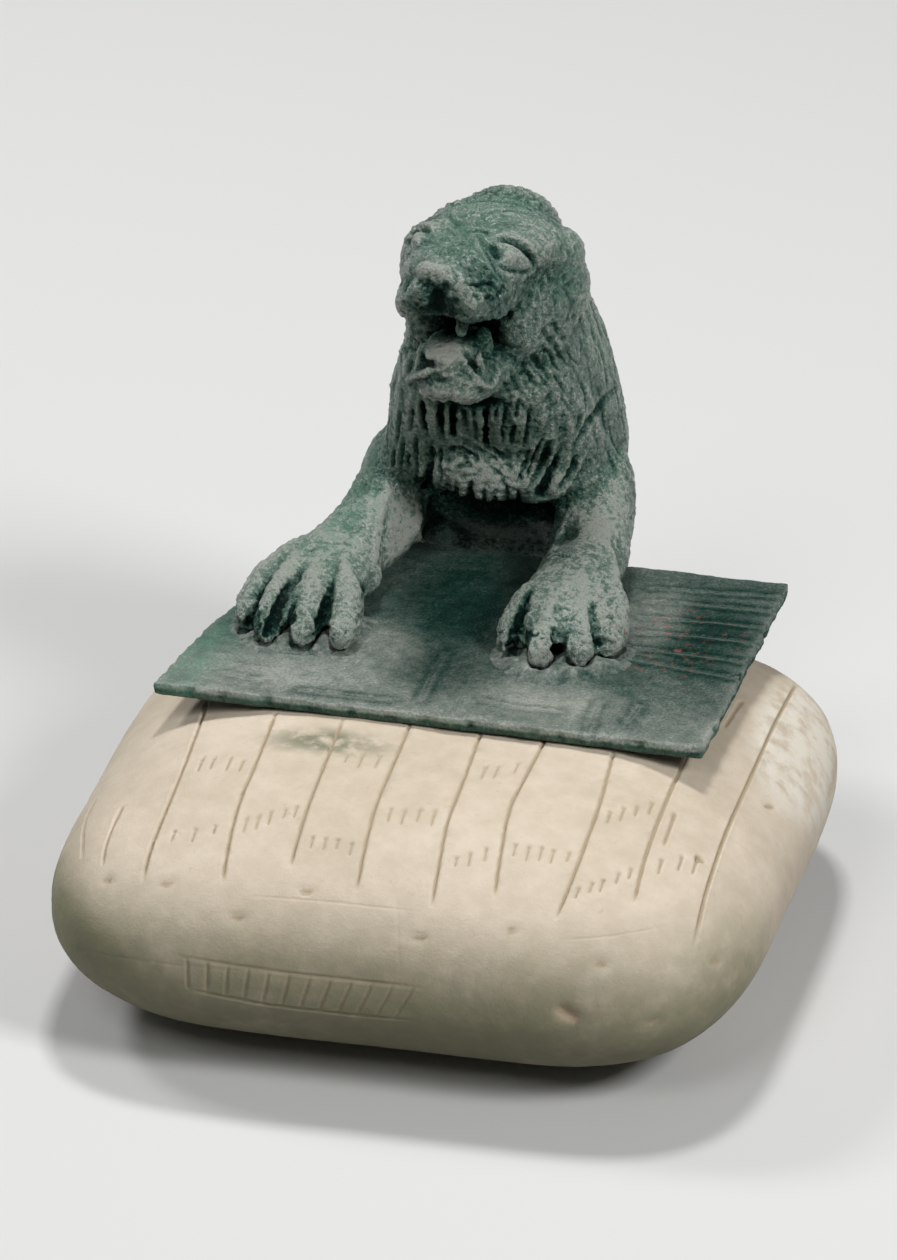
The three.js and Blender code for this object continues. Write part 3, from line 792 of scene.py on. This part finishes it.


# The surface's height and its painted occlusion shade choose the colour, from dark hollows to pale high
# places; dust with painted light, and painted shade, go over it
def makePatina(name, crustGroup, values, lines=False):
    material, tree, bsdf, coords = startMaterial(name)
    crust = addNode(tree, "ShaderNodeGroup", (-1300, -300))
    crust.node_tree = crustGroup
    tree.links.new(coords, crust.inputs["Vector"])
    hollow = readMark(tree, "hollow")
    occlusionShade = readMark(tree, "occlusionShade", (-1600, 400))
    verdigris = readMark(tree, "verdigris", (-1600, 600))
    dustAndPaintedLight = readMark(tree, "dustAndPaintedLight", (-1600, 800))
    copper = readMark(tree, "copper", (-1600, 1000))
    paintedShade = readMark(tree, "paintedShade", (-1600, 1200))
    wide = reach(tree, noiseAt(tree, coords, 110, 4, 0.6, (-1300, 500)), 0.3, 0.7)
    fine = crust.outputs["Speckle"]
    shape = maths(tree, "MULTIPLY", hollow, values["hollowShare"])
    # painted occlusion shade
    shape = maths(tree, "ADD", shape, maths(tree, "MULTIPLY", occlusionShade, values["occlusionShadeShare"]))
    grain = maths(tree, "MULTIPLY", maths(tree, "SUBTRACT", fine, 0.5), values["speckle"])
    patches = maths(tree, "MULTIPLY", maths(tree, "SUBTRACT", wide, 0.5), values["patches"])
    level = maths(tree, "ADD", maths(tree, "ADD", shape, grain), patches)
    # dust, with painted light
    level = maths(tree, "ADD", level, maths(tree, "MULTIPLY", dustAndPaintedLight, values["dustAndLightShare"]))
    # painted shade
    level = maths(tree, "SUBTRACT", level, maths(tree, "MULTIPLY", paintedShade, values["paintedShadeShare"]))
    level = maths(tree, "ADD", level, values["lift"])
    ramp = addNode(tree, "ShaderNodeValToRGB", (-500, 200))
    stops = ramp.color_ramp
    stops.elements[0].position = 0.24
    stops.elements[0].color = (*values["dark"], 1)
    stops.elements[1].position = 1.0
    stops.elements[1].color = (*values["pale"], 1)
    for position, key in ((0.42, "deep"), (0.62, "middle"), (0.82, "dust")):
        stops.elements.new(position).color = (*values[key], 1)
    tree.links.new(level, ramp.inputs["Fac"])
    greenNoise = reach(tree, noiseAt(tree, coords, 520, 5, 0.65), 0.34, 0.60)
    green = maths(tree, "MULTIPLY", verdigris, greenNoise, clamp=True)
    tinted = mixColour(tree, 1.0, ramp.outputs["Color"], values["green"], (-400, 500), "SOFT_LIGHT")
    tinted = mixColour(tree, 0.5, tinted, values["green"])
    green = maths(tree, "MULTIPLY", green, 0.8)
    colour = mixColour(tree, green, ramp.outputs["Color"], tinted, (-250, 200))
    brownMask = maths(tree, "MULTIPLY", dustAndPaintedLight, reach(tree, noiseAt(tree, coords, 60, 4, 0.6), 0.45, 0.7))
    colour = mixColour(tree, maths(tree, "MULTIPLY", brownMask, 0.25), colour, values["brown"])
    redNoise = reach(tree, noiseAt(tree, coords, 700, 3, 0.6), 0.57, 0.70)
    colour = mixColour(tree, maths(tree, "MULTIPLY", copper, redNoise), colour, values["copper"])
    if lines:
        ruled = reach(tree, readMark(tree, "ruled"), 0.15, 0.8, toHigh=0.55)
        colour = mixColour(tree, ruled, colour, values["dust"])
    # painted glints: small pale flecks on the higher, lighter places
    paintedGlints = reach(tree, noiseAt(tree, coords, 2700, 2, 0.6), 0.57, 0.70)
    paintedGlints = maths(tree, "MULTIPLY", paintedGlints, reach(tree, level, 0.45, 0.8))
    colour = mixColour(tree, maths(tree, "MULTIPLY", paintedGlints, values["paintedGlints"]), colour, values["pale"])
    specks = reach(tree, noiseAt(tree, coords, 1900, 3, 0.65), 0.42, 0.30)
    specks = maths(tree, "MULTIPLY", specks, reach(tree, dustAndPaintedLight, 0.1, 0.6, toLow=1.0, toHigh=0.35))
    colour = mixColour(tree, maths(tree, "MULTIPLY", specks, values["specks"]), colour, values["deep"])
    tree.links.new(colour, bsdf.inputs["Base Color"])
    rough = reach(tree, level, 0.3, 0.9, (-250, -100), *values["roughness"])
    tree.links.new(rough, bsdf.inputs["Roughness"])
    gloss = reach(tree, level, 0.35, 0.80, toLow=0.12, toHigh=values["specular"])
    tree.links.new(gloss, bsdf.inputs["Specular IOR Level"])
    bump = addNode(tree, "ShaderNodeBump", (-250, -300), {"Strength": 1.0, "Distance": values["grain"]})
    tree.links.new(crust.outputs["Height"], bump.inputs["Height"])
    tree.links.new(bump.outputs["Normal"], bsdf.inputs["Normal"])
    return material


stoneValues = {
    "cream": (0.530, 0.448, 0.338),
    "pale": (0.680, 0.588, 0.474),
    # greyness and stain colours also carry painted shade low on the front and at the front left corner
    "greyness": (0.236, 0.228, 0.128),
    "stainAndShade": (0.215, 0.215, 0.140),
    "crust": (0.770, 0.730, 0.640),
    # painted shade in the grooves
    "cut": (0.400, 0.320, 0.220),
    "blotches": {     # strength, noise scale, and where the noise starts and ends
        "greyness": (0.9, 70, 0.0, 0.62),
        "stainAndShade": (1.0, 330, 0.30, 0.62),
        "crust": (0.8, 260, 0.35, 0.6),
    },
    "roughness": 0.74,
    "grain": 0.00010,     # metres
}


def makeStone(name, values):
    material, tree, bsdf, coords = startMaterial(name)
    wide = reach(tree, noiseAt(tree, coords, 32, 4, 0.5), 0.3, 0.7)
    clouds = reach(tree, noiseAt(tree, coords, 240, 6, 0.65), 0.3, 0.75)
    fine = noiseAt(tree, coords, 2400, 4, 0.65)
    flecks = reach(tree, noiseAt(tree, coords, 900, 3, 0.7), 0.62, 0.74)
    tone = maths(tree, "ADD", maths(tree, "MULTIPLY", wide, 0.45), maths(tree, "MULTIPLY", clouds, 0.55))
    colour = mixColour(tree, tone, values["cream"], values["pale"])
    for i, (key, (amount, scale, low, high)) in enumerate(values["blotches"].items()):
        blotches = reach(tree, noiseAt(tree, coords, scale, 5, 0.6), low, high)
        mask = maths(tree, "MULTIPLY", readMark(tree, key, (-1600, 200 * i)), blotches)
        colour = mixColour(tree, maths(tree, "MULTIPLY", mask, amount), colour, values[key])
    colour = mixColour(tree, maths(tree, "MULTIPLY", flecks, 0.22), colour, values["greyness"])
    # painted shade in the grooves
    cut = reach(tree, readMark(tree, "cut", (-1600, 600)), 0.1, 0.8)
    colour = mixColour(tree, cut, colour, values["cut"])
    tree.links.new(colour, bsdf.inputs["Base Color"])
    bsdf.inputs["Roughness"].default_value = values["roughness"]
    bump = addNode(tree, "ShaderNodeBump", (-250, -300), {"Strength": 0.6, "Distance": values["grain"]})
    tree.links.new(maths(tree, "ADD", fine, clouds), bump.inputs["Height"])
    tree.links.new(bump.outputs["Normal"], bsdf.inputs["Normal"])
    return material


def keepMark(obj, name, values):
    attribute = obj.data.attributes.new(name, "FLOAT", "POINT")
    attribute.data.foreach_set("value", np.clip(values, 0, 1).astype(np.float32))


surfaceValues = {
    "sharpDepth": 0.09,     # mm, fine relief
    "broadDepth": 0.45,     # mm, larger forms
    "sharpShare": 0.11,
    "broadShare": 0.36,
    "rayLength": 14,     # mm
    "rayLift": 0.15,     # mm above the surface, where a ray starts
}


# How far each point stands out, and how much of the sky it sees, kept as painted occlusion shade
def markSurface(obj, rays=14):
    values = surfaceValues
    clay = takeClay(obj)
    co, no = clay["co"], clay["no"]
    near = co
    far = co
    for _ in range(5):
        near = near + (spread(clay, near) - near) * 0.7
    for _ in range(26):
        far = far + (spread(clay, far) - far) * 0.8
    sharp = np.tanh(((near - co) * no).sum(axis=1) / (values["sharpDepth"] * mm))
    broad = np.tanh(((far - co) * no).sum(axis=1) / (values["broadDepth"] * mm))
    keepMark(obj, "hollow", 0.5 - values["sharpShare"] * sharp - values["broadShare"] * broad)
    golden = math.pi * (3 - math.sqrt(5))
    fan = []
    for i in range(rays):
        up = 1 - (i + 0.5) / rays
        out = math.sqrt(1 - up * up)
        fan.append(Vector((out * math.cos(i * golden), out * math.sin(i * golden), up)))
    # painted occlusion shade: points that see less of the sky are darker
    occlusionShade = np.zeros(len(co))
    tree = treeOf(clay)
    lift = values["rayLift"] * mm
    for i, (place, normal) in enumerate(zip(co.tolist(), no.tolist())):
        n = Vector(normal)
        turn = n.to_track_quat("Z", "Y")
        start = Vector(place) + n * lift
        free = 0
        for ray in fan:
            if tree.ray_cast(start, turn @ ray, values["rayLength"] * mm)[0] is None:
                free += 1
        occlusionShade[i] = free / rays
    occlusionShade = occlusionShade[:, None]
    for _ in range(3):
        occlusionShade = spread(clay, occlusionShade)
    keepMark(obj, "occlusionShade", occlusionShade[:, 0])


lionMarks = {   # place in mm, radii in mm and strength
    "verdigris": [
        ((-27, 40, 52), (9, 24, 14), 1), ((-19, 46, 70), (7, 12, 18), 1),
        ((-4, 47, 101), (13, 7, 5), 0.7), ((-6, 36, 101), (9, 13, 5), 0.5),
        ((8, 45, 92), (5, 7, 9), 0.9), ((-14, 38, 86), (4, 6, 9), 0.7),
        ((10, 55, 78), (6, 8, 14), 0.5)],
    # dust on the arms, paws and chest, and painted light on the tongue, the inner side of the left
    # forearm, the tops of the arms and the right of the mane
    "dustAndPaintedLight": [
        ((11, 52, 80), (7, 11, 16), 0.6), ((-16, 40, 50), (9, 14, 10), 2.0),
        ((-6.5, 28, 84.5), (4.5, 6, 3), 2.0), ((-3.5, 38, 59), (10, 8, 6), 1.5),
        ((8, 42, 53), (5, 10, 7), 1.2), ((15, 40, 56), (9, 12, 9), 1.6),
        ((-24, 30, 54), (10, 14, 8), 1.2), ((15, 22, 46), (10, 12, 8), 0.8),
        ((-26, 24, 48), (10, 12, 7), 0.8), ((15, 24, 48), (9, 14, 7), 0.8),
        ((14, 40, 54), (7, 12, 8), 0.6)],
    # painted shade: under the nose and muzzle, in the mouth, in the eye crease, under the chin and
    # between the forelegs
    "paintedShade": [
        ((0, 27, 95), (6, 6, 5.5), 0.55), ((-6.5, 24, 93.6), (8, 6.5, 4.8), 0.9),
        ((-7.4, 21.5, 97), (4.5, 3, 2.6), 0.7), ((-3, 27, 91), (9, 7, 4), 0.9),
        ((-5, 33, 87), (8, 5, 4), 1), ((-1, 32.5, 100), (2.4, 3, 2.2), 0.6),
        ((-6, 34, 73), (10, 7, 3), 0.8), ((-4, 46, 50), (14, 8, 8), 0.8),
        ((-5, 28, 102), (6, 6, 3), 0.3)],
    "copper": [
        ((16, 36, 54), (5, 6, 5), 0.6), ((22, 20, 45), (3, 4, 4), 0.9),
        ((-20, 34, 54), (3, 4, 3), 0.4)],
}
joinMarks = {"verdigris": [], "dustAndPaintedLight": [], "copper": [], "paintedShade": []}


# Painted shade down in the slots between the toes and strands: how far a point lies down in a slot, with
# walls darker than what faces out
def downSlots(clay, slots):
    amount = np.zeros(len(clay["co"]))
    for path, wide in slots:
        place = np.array([p for p, _ in path])
        facing = np.array([n for _, n in path])
        low = place.min(axis=0) - 5 * mm
        high = place.max(axis=0) + 5 * mm
        near = np.flatnonzero(np.all((clay["co"] > low) & (clay["co"] < high), axis=1))
        for i in near:
            offset = place - clay["co"][i]
            down = (offset * facing).sum(axis=1)
            aside = np.linalg.norm(offset - facing * down[:, None], axis=1)
            k = int(np.argmin(aside))
            if aside[k] < (wide + 0.4) * mm and down[k] < 5.5 * mm:
                wall = min(1, max(0.2, 1.35 - 1.35 * float(clay["no"][i] @ facing[k])))
                amount[i] = max(amount[i], wall * min(1, max(0, (down[k] / mm - 0.25) / 1.1)))
    return amount


def markPatina(obj, regions, slots=()):
    clay = takeClay(obj)
    upward = 0.5 + 0.5 * np.clip(clay["no"][:, 2], -1, 1)
    for key, places in regions.items():
        amount = np.zeros(len(clay["co"]))
        for place, radii, strength in places:
            amount = np.maximum(amount, within(clay, place, radii, 0.7) * strength)
        # dust, and painted light, more on faces turned up
        if key == "dustAndPaintedLight":
            amount = (amount + 0.25) * upward * 0.5
        # painted shade down in the slots
        if key == "paintedShade" and slots:
            amount = np.maximum(amount, downSlots(clay, slots))
        keepMark(obj, key, amount)


tabletValues = {
    "voxel": 1.05,
    "refineRadius": 1.5,
    "swell": (30, 0.5, 2),       # size and height in mm, octaves
    "grains": (6, 0.07, 3),
    "rulings": [   # lines over the photograph's view
        [(208, 700), (190, 750), (170, 800), (152, 845), (142, 882)],
        [(276, 712), (256, 762), (240, 800), (229, 842), (222, 884)],
        [(343, 718), (326, 760), (311, 798), (299, 834), (290, 868)],
        [(411, 722), (395, 760), (377, 802), (365, 846), (356, 892)],
        [(482, 730), (464, 778), (448, 820), (439, 864), (431, 908)],
        [(549, 732), (529, 770), (510, 808), (501, 852), (494, 898)],
        [(614, 750), (601, 800), (586, 842), (571, 882), (555, 920)],
        [(690, 748), (667, 800), (650, 844), (641, 874), (634, 904)],
        [(798, 681), (776, 722), (753, 773), (726, 834), (706, 894), (694, 948)]],
    "rulingWidth": 0.40,
    "rulingDepth": 0.52,
    "nickWidth": 1.6,
    "nickDepth": 0.9,
    "pitWidth": 0.9,
    "pitDepth": 0.45,
    "seed": 4,
    "ticks": [   # short wedge strokes in plain rows: column, row down the column, count, length in pixels
        (0, 0.30, 4, 15), (1, 0.62, 5, 17), (2, 0.22, 3, 16), (3, 0.50, 4, 18), (4, 0.20, 3, 17),
        (5, 0.66, 5, 16), (6, 0.36, 4, 18), (7, 0.72, 3, 17), (0, 0.72, 3, 14), (2, 0.78, 4, 15),
        (4, 0.74, 3, 15), (6, 0.82, 5, 14)],
    "bars": [    # longer single wedges
        [(95, 800), (84, 826), (82, 858)], [(122, 806), (108, 838), (102, 866)],
        [(676, 812), (664, 846)], [(742, 700), (724, 728)]],
    "bandEdges": [   # hatched band on the front
        [(176, 956), (250, 968), (330, 978), (424, 988)],
        [(190, 990), (262, 1004), (336, 1013), (414, 1021)]],
    "bandStrokes": 12,
    "hairlines": [
        [(62, 946), (150, 962), (260, 972), (375, 978)], [(96, 700), (110, 716), (118, 730)],
        [(396, 890), (398, 936), (400, 978)], [(560, 940), (610, 936), (668, 926)],
        [(250, 896), (330, 902), (420, 912)]],
    "pits": [
        (653, 1023), (306, 892), (566, 1016), (238, 918), (700, 860), (770, 806), (166, 884),
        (512, 930), (602, 964), (420, 938), (716, 962), (108, 880)],
    "nick": [(553, 1008), (566, 1014), (579, 1024)],
    # the front left corner: grey-green staining with painted shade
    "cornerGrey": ((-46, -40, 10), (18, 24, 17), 0.8),     # place and radii in mm, soft edge
    "cornerStainAndShade": ((-46, -38, 14), (12, 22, 12), 0.6),
    "topStain": ((-15.5, -13.5, 37), (12, 5.5, 6), 0.6),
    "sideCrust": ((50, 22, 27), (9, 24, 16), 0.5),
}


# Point of a drawn line at a share of its length
def alongLine(line, share):
    lengths = [math.dist(a, b) for a, b in zip(line, line[1:])]
    left = min(share, 0.999) * sum(lengths)
    for (a, b), long in zip(zip(line, line[1:]), lengths):
        if left <= long:
            return a[0] + (b[0] - a[0]) * left / long, a[1] + (b[1] - a[1]) * left / long
        left -= long
    return line[-1]


# More points where the tool will pass, so that a narrow cut keeps its shape
def refine(obj, paths, radius, levels):
    tree = KDTree(sum(len(path) for path in paths))
    i = 0
    for path in paths:
        for p, _ in path:
            tree.insert(p, i)
            i += 1
    tree.balance()
    for level in range(levels):
        near = radius * mm * (1 if level == 0 else 0.7)
        mesh = obj.data
        picked = [tree.find(v.co)[2] < near for v in mesh.vertices]
        select(obj)
        bpy.ops.object.mode_set(mode="EDIT")
        bpy.ops.mesh.select_all(action="DESELECT")
        bpy.ops.object.mode_set(mode="OBJECT")
        mesh.polygons.foreach_set("select", [all(picked[i] for i in p.vertices) for p in mesh.polygons])
        bpy.ops.object.mode_set(mode="EDIT")
        bpy.ops.mesh.select_mode(type="FACE")
        bpy.ops.mesh.subdivide(number_cuts=1, quadcorner="INNERVERT", ngon=False)
        bpy.ops.object.mode_set(mode="OBJECT")


def makeTablet(values):
    tablet = copyNode("stone_tablet", "limestoneTablet")
    remesh(tablet, values["voxel"])
    clay = takeClay(tablet)
    top = fade(clay["co"][:, 2] / mm, 3, 6)
    smooth(clay, 14, 0.6, top)
    press(clay)
    roughen(clay, *values["swell"], top)
    press(clay)
    rulings = [seen(clay, line, 4) for line in values["rulings"]]
    ticks = []
    rng = np.random.default_rng(values["seed"])
    for column, row, count, long in values["ticks"]:
        left, right = values["rulings"][column], values["rulings"][column + 1]
        for i in range(count):
            across = (i + 1 + rng.uniform(-0.12, 0.12)) / (count + 1)
            ends = []
            start = row + rng.uniform(-0.01, 0.01)
            for share in (start, start + long * rng.uniform(0.8, 1.25) / 190):
                a = alongLine(left, share)
                b = alongLine(right, share * 0.92)
                ends.append((a[0] + (b[0] - a[0]) * across, a[1] + (b[1] - a[1]) * across))
            ticks.append(seen(clay, ends, 4))
    bars = [seen(clay, line, 4) for line in values["bars"]]
    upper, lower = values["bandEdges"]
    band = [seen(clay, upper, 4), seen(clay, lower, 4)]
    for i in range(values["bandStrokes"]):
        share = (i + 0.5) / values["bandStrokes"]
        band.append(seen(clay, [alongLine(upper, share), alongLine(lower, share - 0.05)], 4))
    hairlines = [seen(clay, line, 4) for line in values["hairlines"]]
    nick = seen(clay, values["nick"], 4)
    refine(tablet, rulings + ticks + bars + band + hairlines + [nick], values["refineRadius"], 2)
    clay = takeClay(tablet)
    top = fade(clay["co"][:, 2] / mm, 3, 6)
    roughen(clay, *values["grains"], top, 3)
    press(clay)
    before = clay["co"].copy()
    width, depth = values["rulingWidth"], values["rulingDepth"]
    for path in rulings:
        stroke(clay, path, width, -depth, 0.05, 0.06)
    for path in ticks:
        stroke(clay, path[:max(2, len(path) // 2)], width * 1.35, -depth * 0.7, 0.04, 0.3)
        stroke(clay, path, width * 0.8, -depth * 0.75, 0.03, 0.2)
    for path in bars:
        stroke(clay, path[:max(2, len(path) // 3)], width * 1.6, -depth * 0.6, 0.04, 0.3)
        stroke(clay, path, width * 0.95, -depth * 0.8, 0.03, 0.15)
    for path in band:
        stroke(clay, path, width * 0.9, -depth * 0.55, 0.03, 0.2)
    for path in hairlines:
        stroke(clay, path, width * 0.5, -depth * 0.2, 0, 0.2)
    stroke(clay, seen(clay, values["nick"], 4), values["nickWidth"], -values["nickDepth"], 0, 0.4)
    for u, v in values["pits"]:
        spot = seen(clay, [(u - 2, v), (u + 2, v)], 4)
        stroke(clay, spot, values["pitWidth"], -values["pitDepth"], 0, 0)
    # painted shade in the grooves, from how deep each point was cut
    cut = ((before - clay["co"]) * clay["no"]).sum(axis=1) / (depth * mm)
    press(clay)
    x, y, z = (clay["co"] / mm).T
    keepMark(tablet, "cut", cut)
    # greyer and darker towards the bottom of the front and at the front left corner: partly grey-green
    # staining, partly painted shade
    lowFront = 1.3 * fade(z, 31, 14) * fade(y, -18, -36)
    greyness = lowFront + np.clip((9 - z) / 12, 0, 0.7) * (x < 40)
    keepMark(tablet, "greyness", greyness + 1.6 * within(clay, *values["cornerGrey"]))
    stainAndShade = within(clay, *values["topStain"]) + 0.7 * within(clay, *values["cornerStainAndShade"])
    keepMark(tablet, "stainAndShade", stainAndShade + 0.45 * lowFront)
    keepMark(tablet, "crust", 1.6 * within(clay, *values["sideCrust"]))
    clay["co"][:, 2] = np.maximum(clay["co"][:, 2], 0)
    press(clay)
    select(tablet)
    bpy.ops.object.shade_smooth()
    print("tablet faces", len(tablet.data.polygons))
    return tablet


plateValues = {
    "voxel": 0.46,
    "refineRadius": 1.0,
    "bend": (14, 0.22, 2),      # size and height in mm, octaves
    "rimBites": (3.0, 0.30, 3),
    "skin": (2.0, 0.10, 4),
    "rulings": [   # over the photograph's view, right of the right paw
        [(652, 589), (700, 591), (785, 597)], [(646, 602), (700, 605), (779, 612)],
        [(640, 618), (700, 621), (772, 629)], [(636, 632), (700, 637), (762, 645)],
        [(632, 648), (690, 655), (752, 663)], [(626, 658), (680, 668), (744, 680)]],
    "scratches": [
        [(447, 652), (436, 668), (421, 700)], [(600, 702), (592, 720), (586, 736)],
        [(640, 706), (628, 722)], [(300, 690), (340, 694), (388, 700)],
        [(480, 700), (520, 708), (560, 712)], [(220, 672), (262, 680)]],
    "edgeChips": [
        (190, 690), (268, 700), (352, 712), (470, 726), (560, 738), (640, 745), (716, 728),
        (744, 676), (768, 636)],
    "rulingTool": (0.38, -0.26, 0.04, 0.05),     # width, depth and rim in mm, taper
    "scratchTool": (0.32, -0.10, 0.02, 0.3),
    "chipTool": (1.1, -0.35, 0, 0.3),
    # lighter round the paws
    "dustAndPaintedLight": [   # place and radii in mm, soft edge and strength
        ((24, 34, 40), (7, 16, 4), 0.6, 0.4), ((-28, 5, 40), (18, 9, 4), 0.5, 0.4),
        ((-14, 14, 40), (8, 14, 4), 0.6, 0.4), ((14, 4, 40), (14, 8, 4), 0.5, 0.4)],
    "verdigris": [((-42, 18, 40), (9, 40, 5), 0.6, 1.0)],
    "copper": [((30, 26, 40), (11, 18, 4), 0.5, 0.7)],
    # painted shadows of the figure on the plate: between the paws and to the right of the right paw
    "paintedShade": [((-5, 34, 40), (13, 22, 4), 0.8, 0.5), ((34, 28, 40), (8, 18, 4), 0.8, 0.4)],
}


def makePlate(values):
    plate = copyNode("inscribed_plate", "ruledPlate")
    remesh(plate, values["voxel"])
    clay = takeClay(plate)
    smooth(clay, 3)
    press(clay)
    rulings = [seen(clay, line) for line in values["rulings"]]
    scratches = [seen(clay, line) for line in values["scratches"]]
    refine(plate, rulings + scratches, values["refineRadius"], 1)
    clay = takeClay(plate)
    middle = clay["co"][:, 2].mean()
    roughen(clay, *values["bend"])
    press(clay)
    rim = 1 - np.clip(abs(clay["no"][:, 2]) * 1.3, 0, 1)
    roughen(clay, *values["rimBites"], rim, 11)
    roughen(clay, *values["skin"], shift=5)
    press(clay)
    inward = clay["co"]
    for _ in range(6):
        inward = inward + (spread(clay, inward) - inward) * 0.7
    edge = np.clip(np.linalg.norm((inward - clay["co"])[:, :2], axis=1) / (0.35 * mm), 0, 1)
    before = clay["co"].copy()
    for path in rulings:
        stroke(clay, path, *values["rulingTool"])
    ruled = ((before - clay["co"]) * clay["no"]).sum(axis=1) / (0.2 * mm)
    for path in scratches:
        stroke(clay, path, *values["scratchTool"])
    for u, v in values["edgeChips"]:
        stroke(clay, seen(clay, [(u - 5, v), (u + 5, v)]), *values["chipTool"])
    press(clay)
    extra = {
        # lighter towards the front edge
        "dustAndPaintedLight": 0.34 * fade(clay["co"][:, 1] / mm, 8, 0),
        "verdigris": 0.5 * (rim > 0.5),
        "copper": 0.0,
        # painted shade underneath and along the rim
        "paintedShade": 0.9 * (clay["co"][:, 2] < middle) + 0.7 * edge,
    }
    for key, amount in extra.items():
        for place, radii, soft, strength in values[key]:
            amount = amount + strength * within(clay, place, radii, soft)
        keepMark(plate, key, amount)
    keepMark(plate, "ruled", ruled)
    select(plate)
    bpy.ops.object.shade_smooth()
    print("plate faces", len(plate.data.polygons))
    return plate


joinValues = {
    "voxel": 0.34,
    "lumps": (2.6, 0.35, 3),     # size and height in mm, octaves
    "grains": (0.9, 0.12, 2),
    "edge": 0.42,          # how much of the mound fades out into the plate
    "lobes": 1.7,          # how often its outline swings in and out
    "lobeDepth": 0.16,
    "sink": 0.8,           # mm, how far its thin edge goes down into the plate
    "footDepth": 1.0,      # mm, the same for its underside
}


# Crust of joining metal round a paw: uneven, and thinning out into the plate
def makeJoin(node, name, values):
    piece = copyNode(node, name)
    low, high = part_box(node)
    middle = (np.array(low) + np.array(high)) / 2
    half = (np.array(high) - np.array(low)) / 2
    remesh(piece, values["voxel"])
    clay = takeClay(piece)
    smooth(clay, 4)
    press(clay)
    roughen(clay, *values["lumps"], shift=9)
    press(clay)
    roughen(clay, *values["grains"], shift=4)
    co = clay["co"]
    across = (co[:, 0] - middle[0]) / half[0]
    along = (co[:, 1] - middle[1]) / half[1]
    angle = np.arctan2(along, across)
    lobes = values["lobes"]
    wave = []
    for a in angle:
        place = Vector((math.cos(a) * lobes, math.sin(a) * lobes, middle[0] * 90))
        wave.append(noise.fractal(place, 0.8, 2, 3))
    out = np.hypot(across, along) + values["lobeDepth"] * np.array(wave)
    sink = np.clip((out - (1 - values["edge"])) / values["edge"], 0, 1) ** 1.2
    bottom = float(low[2])
    height = co[:, 2] - bottom
    under = np.clip(1 - height / (0.3 * mm), 0, 1)
    lowered = values["sink"] * mm * sink + values["footDepth"] * mm * under
    co[:, 2] = bottom + height * (1 - 0.9 * sink) - lowered
    press(clay)
    select(piece)
    bpy.ops.object.shade_smooth()
    print("join made", name)
    return piece


lightValues = {   # place in metres, power in watts, size in metres
    "keyLight": ((-0.09, 0.34, 1.05), 5.6, 0.16),
    "leftLight": ((-0.80, 0.30, 0.85), 4.4, 0.24),
    "rightLight": ((0.80, -0.40, 0.80), 8.0, 0.30),
    "frontLight": ((-0.20, -0.85, 0.95), 2.8, 0.40),
}
stageValues = {
    "floorSize": 6,
    "floorSeen": (0.66, 0.66, 0.65),
    "floorBounce": (0.25, 0.25, 0.25),
    "floorRoughness": 0.9,
    "worldStrength": 0.08,
    "aimHeight": 0.06,
}


def addLight(name, place, power, size):
    data = bpy.data.lights.new(name, "AREA")
    data.energy = power
    data.size = size
    light = bpy.data.objects.new(name, data)
    light.location = place
    toAim = Vector((0, 0, stageValues["aimHeight"])) - Vector(place)
    light.rotation_euler = toAim.to_track_quat("-Z", "Y").to_euler()
    bpy.context.scene.collection.objects.link(light)


def addStage(values):
    bpy.ops.mesh.primitive_plane_add(size=values["floorSize"], location=(0, 0, 0))
    floor = bpy.context.active_object
    floor.name = "floor"
    material, tree, bsdf, _ = startMaterial("paleFloor")
    rays = addNode(tree, "ShaderNodeLightPath", (-900, 0)).outputs
    shown = maths(tree, "MAXIMUM", rays["Is Camera Ray"], rays["Is Glossy Ray"])
    shown = maths(tree, "MAXIMUM", shown, rays["Is Transmission Ray"])
    colour = mixColour(tree, shown, values["floorBounce"], values["floorSeen"])
    tree.links.new(colour, bsdf.inputs["Base Color"])
    bsdf.inputs["Roughness"].default_value = values["floorRoughness"]
    floor.data.materials.append(material)
    world = bpy.data.worlds.new("studio")
    world.use_nodes = True
    tree = world.node_tree
    background = tree.nodes["Background"]
    rays = addNode(tree, "ShaderNodeLightPath", (-900, 0)).outputs
    shown = maths(tree, "MAXIMUM", rays["Is Camera Ray"], rays["Is Transmission Ray"])
    strength = maths(tree, "MAXIMUM", shown, values["worldStrength"])
    tree.links.new(strength, background.inputs["Strength"])
    background.inputs["Color"].default_value = (1, 1, 1, 1)
    bpy.context.scene.world = world
    print("stage placed")


def dress(piece, node, body, material):
    piece.data.materials.clear()
    piece.data.materials.append(material)
    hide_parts(node)
    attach(piece, body)


addCamera(cameraValues)
for name, light in lightValues.items():
    addLight(name, *light)
addStage(stageValues)
crustGroup = makeCrustGroup(crustValues)

lion, slots = makeLion(lionValues)
markSurface(lion)
markPatina(lion, lionMarks, slots)
lionPatina = makePatina("lionPatina", crustGroup, patinaValues)
dress(lion, "lion_casting", "figure", lionPatina)

plate = makePlate(plateValues)
markSurface(plate, 6)
platePatina = makePatina("platePatina", crustGroup, plateFinish, lines=True)
dress(plate, "inscribed_plate", "figure", platePatina)

joinPatina = makePatina("joinPatina", crustGroup, joinFinish)
for node, name in (("left_paw_join", "leftPawJoin"), ("right_paw_join", "rightPawJoin")):
    piece = makeJoin(node, name, joinValues)
    markSurface(piece, 6)
    markPatina(piece, joinMarks)
    dress(piece, node, "figure", joinPatina)

tablet = makeTablet(tabletValues)
limestone = makeStone("limestone", stoneValues)
dress(tablet, "stone_tablet", "tablet", limestone)

bpy.context.scene.view_settings.view_transform = "Standard"
